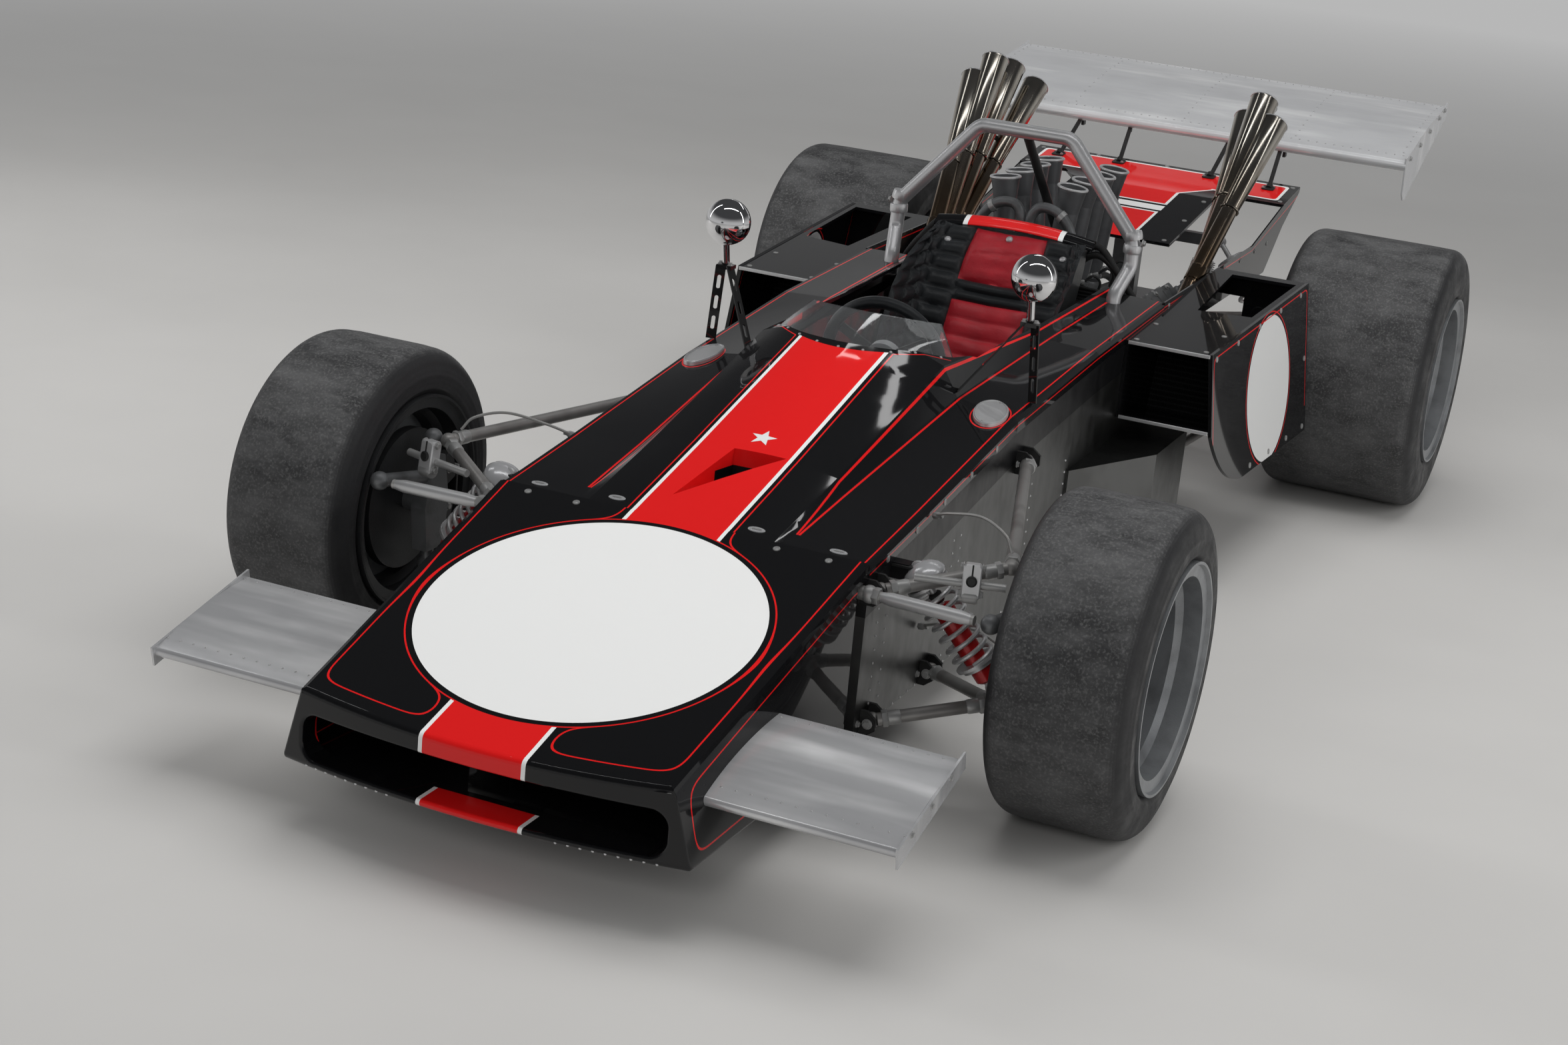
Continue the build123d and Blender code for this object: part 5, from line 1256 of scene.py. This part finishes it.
# Gearbox and rear axle details
def gearbox_fittings():
    """Bolts of the gearbox case and its cooling ribs."""
    form = Form("cast_grey", "bolt")
    case = Skin("gearbox")
    for i in range(7):
        place = case.flank(1.225 + i * 0.030, 0.265)[0] + LEFT * 0.002
        form.bar(place - UP * 0.075, place + UP * 0.075, 0.008, 0.008, LEFT)
    form.tint = 1
    studs(form.bolt, [case.flank(y, 0.185 + 0.04 * i) for i in range(5) for y in (0.875, 1.000, 1.030)], 0.0055)
    studs(form.bolt, [case.drop(0.035 * i, y) for i in range(-2, 3) for y in (0.90, 0.99)], 0.005)
    form.mirror().done("gearbox_fittings", "cast_grey")


def shaft_boots():
    """Pleated boots with their clips at both ends of the drive shafts."""
    form = Form("rubber", "bolt")
    hub = (0, REAR_Y, REAR_R)
    # Each boot's ends, and the radius at each
    for inner, outer, start, end in ((0.152, 0.226, 0.050, 0.026), (0.466, 0.530, 0.026, 0.050)):
        pleats = [(start + (end - start) * i / 12 + (0.005 if i % 2 else -0.003), inner + (outer - inner) * i / 12)
                  for i in range(13)]
        form.lathes(hub, LEFT, (0, 32, (0.017, inner), *pleats, (0.017, outer)))
        for wide, at in ((start, inner + 0.004), (end, outer - 0.004)):
            form.lathes(hub, LEFT, (1, 28, (wide, at - 0.003), (wide + 0.002, at - 0.003), (wide + 0.002, at + 0.003),
                                    (wide, at + 0.003)))
    form.bolts([(0.1500, REAR_Y + 0.050 * cos(turn), REAR_R + 0.050 * sin(turn)) for turn in turns(6)], LEFT, 0.0045)
    form.mirror().done("shaft_boots", "cast_grey")


def gearbox_tail():
    """The plate, pump and hose behind the gearbox."""
    form = Form("cast_grey", "bolt", "steel", "rubber")
    form.slab(rectangle(0.150, 0.160, 0.020), (0, 1.480, 0.265), LEFT, UP, -0.014, 0.003)
    form.lathe([(0.040, 0.010), (0.040, 0.036), (0.034, 0.044), (0.020, 0.046)], (0.0, 1.480, 0.235), AFT, 28)
    form.bolts([(x, 1.4938, z) for x in (-0.060, 0.060) for z in (0.205, 0.265, 0.325)], AFT, 0.0055)
    form.bolts([(0.031 * cos(turn), 1.5235, 0.235 + 0.031 * sin(turn)) for turn in turns(6)], AFT, 0.0035)
    form.lathes((0.045, 1.490, 0.315), AFT, (2, 18, (0.0105, 0), (0.0105, 0.070), (0.013, 0.072), (0.013, 0.082)))
    form.tint = 3
    form.tube(smooth_path([(-0.045, 1.490, 0.305), (-0.050, 1.525, 0.312), (-0.080, 1.530, 0.340),
                           (-0.105, 1.490, 0.372), (-0.112, 1.40, 0.380), (-0.118, 1.26, 0.372),
                           (-0.124, 1.12, 0.384)]), 0.0095, 10)
    form.done("gearbox_tail", "cast_grey")


def rear_links_dressing():
    """Nuts and necks on the rear links."""
    form = Form("bolt")
    for start, end in (((0.134, 1.125, 0.190), (1.109, 0.230)), ((0.132, 1.275, 0.190), (1.185, 0.230)),
                       ((0.136, 1.235, 0.350), (1.175, 0.426)), ((0.330, 0.3153, 0.150), (1.109, 0.264)),
                       ((0.330, 0.3153, 0.350), (1.115, 0.374))):
        end = (0.5172, *end)
        rod_dressing(form, start, end, 0.011)
        form.bolts([Vector(point) + UP * 0.0145 for point in (start, end)], UP, 0.0062, 0)
    form.mirror().done("rear_rod_nuts", "bright_steel")


# Body details
def body_fasteners():
    """Slotted latches and buttons over the nose split and along the body, rivets of the lip."""
    form = Form("bright", "bolt", "polished")
    body = Skin("nose_cowl", "cockpit_cowl")
    oval = [(0.017 * cos(t), 0.0085 * sin(t)) for t in turns(24)]
    for place, normal in body.tops(0.140, -1.440) + body.tops(0.300, -1.440):
        right = LEFT - normal * normal.x
        up = normal.cross(right)
        form.tint = 2
        form.slab(oval, place - normal * 0.0003, right, up, 0.0022, 0.0008)
        form.tint = 1
        form.slab(rectangle(0.020, 0.0042, 0.002), place + normal * 0.0018, right, up, 0.0014, 0.0004)
    studs(form.fastener, body.tops(0.20, -1.484) + body.tops(0.30, -1.484), BUTTON_R)
    form.tint = 0
    studs(form.rivet, [body.land((way * (0.155 + i * 0.021), NOSE_CLEAR_Y, 0.121), AFT)
                       for i in range(9) for way in (1, -1)], RIVET_R)
    form.tint = 1
    for y in (-1.38, -1.24, -1.10, -0.96, -0.82):
        studs(form.fastener, body.flanks(y, level(EDGE_HEIGHT, y) - 0.018), BUTTON_R)
    form.done("body_fasteners", "bare_aluminium")


def tub_rivets():
    """Rows of rivets along the hull's floor, its frames and the bulkhead."""
    form = Form("bright")
    tub = Skin("tub")
    # Stations and heights of the rows, and how squarely the skin has to face sideways
    for stations, heights, square in (
            ([-1.42 + 0.038 * i for i in range(44)], (0.100, 0.112), 0.7),
            ((-1.40, -1.355, -1.02, -0.98, -0.60, -0.56, -0.345), [0.13 + 0.026 * i for i in range(10)], 0.9)):
        landings = [landing for y in stations for z in heights for landing in tub.flanks(y, z)]
        studs(form.rivet, [(place, normal) for place, normal in landings if abs(normal.x) > square], RIVET_R)
    studs(form.rivet, [tub.land((-0.30 + 0.05 * i, NOSE_CLEAR_Y, z), AFT)
                       for i in range(13) for z in (0.105, 0.400)], RIVET_R)
    form.done("tub_rivets", "bare_aluminium")


def star():
    """A plain five-pointed star on the stripe, laid on the cowl."""
    form = Form("white")
    body = Skin("cockpit_cowl")
    rim = []
    for i in range(10):
        reach, turn = 0.0108 if i % 2 else 0.0265, radians(90 + 36 * i)
        rim.append(body.drop(0.014 + reach * cos(turn), -1.150 + reach * sin(turn)))
    middle, normal = body.drop(0.014, -1.150)
    centre = form.mesh.verts.new(middle + normal * 0.0007)
    top, low = ([form.mesh.verts.new(place + normal * lift) for place, normal in rim] for lift in (0.0006, -0.0002))
    for i in range(10):
        j = (i + 1) % 10
        form.mesh.faces.new((centre, top[i], top[j]))
        form.mesh.faces.new((top[i], low[i], low[j], top[j]))
    form.mesh.faces.new(low[::-1])
    form.done("painted_star", "black_paint")


def screen_details():
    """Screws along the windscreen's foot."""
    form = Form("chrome")
    body = Skin("cockpit_cowl")
    studs(form.rivet, [landing for x in (0.18, 0.14, 0.10, 0.05, 0.0)
                       for landing in body.tops(x, SCREEN_FRONT_Y + 3.45 * x * x - 0.009)], 0.0032)
    form.done("screen_screws", "clear_screen")


def mirror_details():
    """Mirror glass, rim and the bolts of the strips."""
    form = Form("chrome", "rubber", "bolt")
    form.lathes((0.338, -0.608, 0.800), (0.10, 1, -0.10),
                (1, 40, (0.043, -0.001), (0.0475, 0.0), (0.0475, 0.004), (0.044, 0.005), (0.0425, 0.002)),
                (0, 40, (0.0425, 0.0008), (0.042, 0.0020), (0.030, 0.0025), (0, 0.0028)))
    form.bolts([(0.350, -0.602, 0.7082), (0.327, -0.606, 0.7082)], UP, 0.0046, 2)
    form.mirror().done("mirror_glass", "mirror_chrome")


def oval_details():
    """Rims of the shoulder ovals, the right one a polished dish."""
    covers = Skin("oval_covers")
    form = Form("chrome", "bolt", "bright")
    # Side, finish and wire of each rim
    for way, tint, wire in ((1, 2, 0.0016), (-1, 0, 0.0024)):
        path = []
        for turn in turns(40):
            x = way * (OVAL_X - 0.0041 * sin(turn)) + 0.0298 * cos(turn)
            place, normal = covers.drop(x, OVAL_Y + 0.0585 * sin(turn))
            path.append(place + normal * 0.0004)
        form.tint = tint
        form.tube([*path, path[0], path[1]], wire, 8)
    form.tint = 1
    studs(form.rivet, covers.tops(OVAL_X, -0.668) + covers.tops(OVAL_X, -0.776), 0.0028)
    form.done("oval_rims", "bare_aluminium")


def pod_details():
    """Bright edge strips and buttons of the side pods."""
    form = Form("bright", "bolt")
    for x, z in ((0.571, 0.5605), (0.590, 0.3885)):
        form.bar((0.384, -0.0022, z), (x, -0.0022, z), 0.008, 0.003, -AFT)
    pod = Skin("side_pod_left")
    form.tint = 1
    studs(form.fastener, [pod.flank(y, 0.549 + 0.0468 * y) for y in (0.030, 0.19, 0.36, 0.53, 0.70)], BUTTON_R)
    studs(form.fastener, [pod.flank(y, z) for y, z in ((0.30, 0.252), (0.45, 0.252), (0.60, 0.252), (0.74, 0.252),
                                                       (0.745, 0.42))], BUTTON_R)
    studs(form.fastener, [pod.drop(x, y) for y in (0.02, 0.17) for x in (0.395, 0.555)], 0.0062)
    form.mirror().done("pod_trim", "bare_aluminium")


def hoop_details():
    """Clamp rings and bolts of the roll hoop."""
    form = Form("chrome", "bolt")
    for place, way in (((0.2905, 0.2675, 0.712), (0.02, -0.02, 1)), ((0.288, 0.269, 0.742), (-0.28, 0.01, 1))):
        form.lathe([(0.0168, -0.010), (0.0205, -0.010), (0.0215, -0.006), (0.0215, 0.006), (0.0205, 0.010),
                    (0.0168, 0.010)], place, way, 28)
    form.bolts([(0.312, 0.268, 0.728)], LEFT, 0.006)
    form.mirror().done("hoop_clamps", "chrome")


def rear_wing_details():
    """Rivets, plate screws and the clamps of the rear wing's mount."""
    form = Form("bolt", "bright")
    wing = Skin("rear_wing")
    form.tint = 1
    studs(form.rivet, [wing.drop(x, 1.700 + i * 0.038) for x in (-0.62, -0.32, 0.0, 0.32, 0.62) for i in range(12)],
          0.0024)
    studs(form.rivet, [wing.drop(-0.624 + i * 0.024, y) for i in range(53) for y in (1.682, 2.158)], 0.0022)
    form.tint = 0
    for way in (1, -1):
        studs(form.bolt, [wing.flank(y, z, way) for y, z in ((1.70, 0.795), (1.82, 0.818), (1.94, 0.842),
                                                             (2.06, 0.866), (2.13, 0.880))], 0.0048)
    form.done("rear_wing_rivets", "polished_aluminium")
    mount = Form("satin_black", "bolt")
    for x in (0.147, 0.286):
        place = wing.land((x, 1.712, 0.5), UP)[0]
        mount.tint = 0
        mount.slab(rectangle(0.026, 0.070, 0.005), place - UP * 0.005, LEFT, (0, 1, 0.2), 0.0052, 0.001)
        mount.bar(place - UP * 0.030, place - UP * 0.003, 0.020, 0.008, LEFT)
        mount.bolts([place + Vector((0.0045, 0, -0.022))], LEFT, 0.0045)
        mount.bolts([place + Vector((0, step, -0.005 + step * 0.2)) for step in (-0.024, 0.024)], -UP, 0.0036)
    deck = Skin("tail_panel")
    for x, y in ((0.130, 1.552), (0.302, 1.536)):
        place, normal = deck.drop(x, y)
        mount.tint = 0
        mount.slab(rectangle(0.034, 0.034, 0.005), place - UP * 0.0002, LEFT, normal.cross(LEFT), 0.004, 0.001)
        mount.lathe([(0.0088, 0.002), (0.0088, 0.014), (0.0065, 0.016)], place, (0.05, 0.75, 0.6), 16)
        mount.bolts([place + Vector((step, step, 0.0035)) for step in (-0.012, 0.012)], normal, 0.0030)
    mount.mirror().done("wing_clamps", "black_steel")


def front_wing_details():
    """Rivets and plate screws of both front wings."""
    form = Form("bright", "bolt")
    for name, way in (("front_wing_left", 1), ("front_wing_right", -1)):
        skin = Skin(name)
        form.tint = 0
        studs(form.rivet, [skin.drop((0.372 + 0.026 * i) * way, y) for i in range(13) for y in (-2.036, -1.812)],
              0.0020)
        form.tint = 1
        studs(form.bolt, [skin.flank(y, 0.215 + (y + 2.06) * 0.23, way) for y in (-2.02, -1.94, -1.86)], 0.0036)
    form.done("front_wing_rivets", "polished_aluminium")


def tail_details():
    """Buttons on the tail deck and side panels."""
    form = Form("bolt")
    deck, panel = Skin("tail_panel"), Skin("engine_side_panels")
    for x, y in ((0.36, 1.44), (0.36, 1.575), (0.20, 1.585), (0.0, 1.585), (0.180, 0.97), (0.180, 1.15), (0.180, 1.33)):
        studs(form.fastener, deck.tops(x, y), 0.0065)
    for y in (0.34, 0.52, 0.85, 1.00, 1.15, 1.28):
        studs(form.fastener, panel.flanks(y, 0.580), 0.0062)
    form.done("tail_buttons", "bare_aluminium")


def gauges():
    """Dials with their marks and needles, and a row of switches."""
    form = Form("chrome", "dial", "dial_mark", "bolt")
    for x, z in ((-0.080, 0.494), (0.0, 0.502), (0.080, 0.494)):
        centre = Vector((x, -0.6985, z))
        form.lathes(centre, AFT,
                    (0, 36, (0.0262, -0.010), (0.0295, -0.001), (0.0300, 0.003), (0.0275, 0.0055), (0.0262, 0.003)),
                    (1, 32, (0.0262, -0.008), (0.0262, -0.0005), (0, 0.0)))
        form.tint = 2
        face = centre + AFT * 0.0012
        for i in range(11):
            turn = radians(-30 + 24 * i)
            out = Vector((cos(turn), 0, sin(turn)))
            form.bar(face + out * 0.0185, face + out * 0.0240, 0.0014, 0.0006, AFT, 0.0001)
        needle = Vector((cos(0.9 + x * 4), 0, sin(0.9 + x * 4)))
        face = centre + AFT * 0.0018
        form.bar(face - needle * 0.004, face + needle * 0.018, 0.0016, 0.0007, AFT, 0.0001)
    for x in (-0.150, -0.130, 0.130, 0.150, 0.190, -0.190):
        form.lathes((x, -0.697, 0.480), (0, 1, 0.25),
                    (3, 12, (0.0072, 0), (0.0072, 0.003), (0.004, 0.004), (0.0028, 0.018), (0.0036, 0.021)))
    form.done("dash_gauges", "bare_aluminium")


def instrument_cap():
    """A small grey hood over the dashboard, with its stay."""
    form = Form("cast_grey", "bolt")
    rows = []
    for i in range(13):
        share = i / 12
        high = 0.030 * hump(0.06 + 0.88 * share, 0.5)
        wide = 0.052 * hump(0.10 + 0.80 * share, 0.5)
        rows.append([Vector((0.086 + wide * cos(turn), -0.695 + 0.115 * share,
                             0.556 + high * sin(turn) * (1.0 if sin(turn) > 0 else 0.5))) for turn in turns(24)])
    form.skin(rows)
    form.tint = 1
    form.rivet((0.086, -0.640, 0.5865), (0, 0.1, 1), 0.0040)
    form.bar((0.086, -0.660, 0.530), (0.086, -0.660, 0.548), 0.020, 0.004, AFT)
    form.done("instrument_cap", "bare_aluminium")


def wheel_trim():
    """The steering wheel's grip, its stitches and boss."""
    centre = Vector((0, -0.520, 0.545)) + Vector((0, 0.9846, 0.1846)) * 0.0113
    axis = Vector((0, 0.983, 0.1804)).normalized()
    up = LEFT.cross(axis)

    def spoke(turn):
        return LEFT * cos(turn) + up * sin(turn)

    form = Form("seat", "bolt", "bright", "seat_red")
    path = [centre + spoke(turn) * 0.128 for turn in turns(72)]
    form.tube([*path, path[0], path[1]], 0.0136, 12)
    form.tint = 3
    for turn in turns(120):
        inner = centre + spoke(turn) * 0.1146
        form.bar(inner, inner + axis * 0.006, 0.0013, 0.0008, spoke(turn), 0.0001)
    form.lathes(centre, axis, (2, 36, (0.0, -0.010), (0.040, -0.010), (0.040, 0.010), (0.034, 0.0135), (0.016, 0.0135),
                               (0.014, 0.018), (0, 0.019)))
    form.bolts([centre + spoke(turn) * 0.028 + axis * 0.0125 for turn in turns(6)], axis, 0.0030)
    form.done("wheel_trim", "wheel_leather", "steering_wheel")


def cockpit_lining():
    """Crumpled foil on the hull's inside, either side of the seat."""
    form = Form("lining")
    for way in (1, -1):
        rows = []
        for i in range(61):
            y = -0.56 + 0.80 * i / 60
            row = []
            for j in range(25):
                z = 0.30 + 0.265 * j / 24
                lump = noise.noise(Vector((way * 2, y * 22, z * 22))) * 0.0055
                lump += noise.noise(Vector((way * 5, y * 55, z * 55))) * 0.0022
                row.append(Vector((way * (0.2035 + 0.006 * (j / 24) ** 2 + lump), y, z + 0.004 * sin(y * 31))))
            rows.append(row + [point + LEFT * (way * 0.0014) for point in row[::-1]])
        form.skin(rows)
    form.done("cockpit_lining", "seat_vinyl", smooth=50)


def radiator_hoses():
    """Hoses seen through the pods' outlets."""
    form = Form("rubber", "bolt")
    form.tube(smooth_path([(0.400, 0.470, 0.440), (0.440, 0.520, 0.450), (0.480, 0.600, 0.430), (0.430, 0.690, 0.410),
                           (0.385, 0.730, 0.405)]), 0.017, 14)
    form.tint = 1
    form.ring((0.440, 0.520, 0.450), (0.5, 0.8, 0), 0.0172, 0.0022, 20, 6)
    form.mirror().done("radiator_hoses", "radiator_black")


seat_cushion()
headrest_lip()
springs()
for corner in CORNERS:
    tyre(*corner[:-1])
    wheel_fittings(*corner)
for detail in (track_rods, clamp_blocks, front_mounts, brake_lines, brakes, trumpet_details, head_details,
               coolant_pipes, ignition_cap, exhaust_details, gearbox_fittings, shaft_boots, gearbox_tail,
               rear_links_dressing, body_fasteners, tub_rivets, star, screen_details, mirror_details, oval_details,
               pod_details, hoop_details, rear_wing_details, front_wing_details, tail_details, gauges,
               instrument_cap, wheel_trim, cockpit_lining, radiator_hoses):
    detail()


# Studio
FLOOR_HALF = 30.0
FLOOR_Z = -0.0005
FLOOR_COLOUR = (0.50, 0.49, 0.475)
HORIZON_COLOUR = (0.46, 0.46, 0.46)
ZENITH_COLOUR = (0.050, 0.051, 0.053)
FILL_COLOUR = (0.34, 0.345, 0.35)


def studio_floor():
    """A wide, faintly clouded pale floor that glows like the backdrop where the lamps don't reach."""
    paint = Paint("floor", FLOOR_COLOUR, 0.6, Specular_IOR_Level=0.1, Emission_Color=(*HORIZON_COLOUR, 1))
    paint.layer(paint.span(paint.noise(0.7, 6), 0.35, 0.7, 0, 0.5), tuple(c * 0.86 for c in FLOOR_COLOUR))
    far = paint.span(length2(paint.x, paint.y), 4.5, 13.0)
    paint.layer(far, (0, 0, 0))
    paint.tree.links.new(far.socket, paint.shader.inputs["Emission Strength"])
    mesh = bpy.data.meshes.new("floor")
    corners = [(sx * FLOOR_HALF, sy * FLOOR_HALF, FLOOR_Z) for sx, sy in ((-1, -1), (1, -1), (1, 1), (-1, 1))]
    mesh.from_pydata(corners, [], [(0, 1, 2, 3)])
    mesh.materials.append(paint.material)
    floor = bpy.data.objects.new("floor", mesh)
    bpy.context.collection.objects.link(floor)


def area_light(name, place, target, size, power, in_gloss):
    """A soft rectangular lamp that looks at a point, and whether gloss mirrors it."""
    data = bpy.data.lights.new(name, "AREA")
    data.shape = "RECTANGLE"
    data.size, data.size_y = size
    data.energy = power
    lamp = bpy.data.objects.new(name, data)
    lamp.location = place
    lamp.rotation_euler = (Vector(target) - Vector(place)).to_track_quat("-Z", "Y").to_euler()
    lamp.visible_glossy = in_gloss
    bpy.context.collection.objects.link(lamp)


def studio_world():
    """Even grey light, and a backdrop that pales towards the horizon where a ray sees it."""
    world = bpy.data.worlds.new("studio")
    world.use_nodes = True
    tree = world.node_tree
    background = tree.nodes["Background"]
    path = tree.nodes.new("ShaderNodeLightPath")
    seen = Field(tree, path.outputs["Is Camera Ray"])
    seen = seen.most(Field(tree, path.outputs["Is Glossy Ray"])).most(Field(tree, path.outputs["Is Transmission Ray"]))
    direction = tree.nodes.new("ShaderNodeTexCoord")
    split = tree.nodes.new("ShaderNodeSeparateXYZ")
    tree.links.new(direction.outputs["Generated"], split.inputs[0])
    ramp = tree.nodes.new("ShaderNodeValToRGB")
    ramp.color_ramp.interpolation = "EASE"
    ramp.color_ramp.elements[0].position = 0.02
    ramp.color_ramp.elements[0].color = (*HORIZON_COLOUR, 1)
    ramp.color_ramp.elements[1].position = 0.46
    ramp.color_ramp.elements[1].color = (*ZENITH_COLOUR, 1)
    tree.links.new(split.outputs["Z"], ramp.inputs["Fac"])
    node = tree.nodes.new("ShaderNodeMix")
    node.data_type = "RGBA"
    node.inputs["A"].default_value = (*FILL_COLOUR, 1)
    tree.links.new(ramp.outputs["Color"], node.inputs["B"])
    tree.links.new(seen.socket, node.inputs["Factor"])
    tree.links.new(node.outputs["Result"], background.inputs["Color"])
    bpy.context.scene.world = world


studio_floor()
studio_world()
area_light("overhead", (0.4, 0.0, 5.2), (0, 0, 0), (5.0, 4.0), 150, False)
area_light("left_bank", (5.6, -0.6, 2.6), (0, 0, 0.4), (1.4, 5.0), 112, False)
area_light("right_bank", (-5.2, -1.0, 3.0), (0, 0, 0.4), (1.2, 5.0), 98, False)
area_light("front_fill", (1.4, -6.6, 3.0), (0, -1.0, 0.3), (4.0, 1.4), 68, False)
for offset, width, power in ((-1.6, 0.30, 18), (2.8, 0.10, 8)):
    area_light("overhead_strip", (0.4, offset, 5.0), (0, offset * 0.3, 0), (5.0, width), power, True)
area_light("left_strip", (4.8, -0.4, 3.0), (0, 0, 0.4), (0.26, 5.0), 15, True)
area_light("right_strip", (-4.6, -0.6, 3.2), (0, 0, 0.4), (0.26, 5.0), 15, True)

# Camera solved from the photograph
CAMERA_AT = (1.8614, -5.5376, 1.9081)
CAMERA_AZIMUTH = radians(22.178)
CAMERA_ELEVATION = radians(17.995)
CAMERA_ROLL = radians(5.640)
CAMERA_LENS = 60.290
CAMERA_SENSOR = 36


def photo_camera():
    """The camera at the photograph's place and angle."""
    back = Vector((sin(CAMERA_AZIMUTH) * cos(CAMERA_ELEVATION), -cos(CAMERA_AZIMUTH) * cos(CAMERA_ELEVATION),
                   sin(CAMERA_ELEVATION)))
    side = UP.cross(back).normalized()
    up = back.cross(side)
    turned_side = side * cos(CAMERA_ROLL) + up * sin(CAMERA_ROLL)
    turned_up = up * cos(CAMERA_ROLL) - side * sin(CAMERA_ROLL)
    data = bpy.data.cameras.new("camera")
    data.lens = CAMERA_LENS
    data.sensor_width = CAMERA_SENSOR
    data.clip_end = 200
    camera = bpy.data.objects.new("camera", data)
    turn = Matrix((turned_side, turned_up, back)).transposed().to_4x4()
    camera.matrix_world = Matrix.Translation(CAMERA_AT) @ turn
    bpy.context.collection.objects.link(camera)
    bpy.context.scene.camera = camera


photo_camera()
bpy.context.scene.view_settings.view_transform = "Standard"
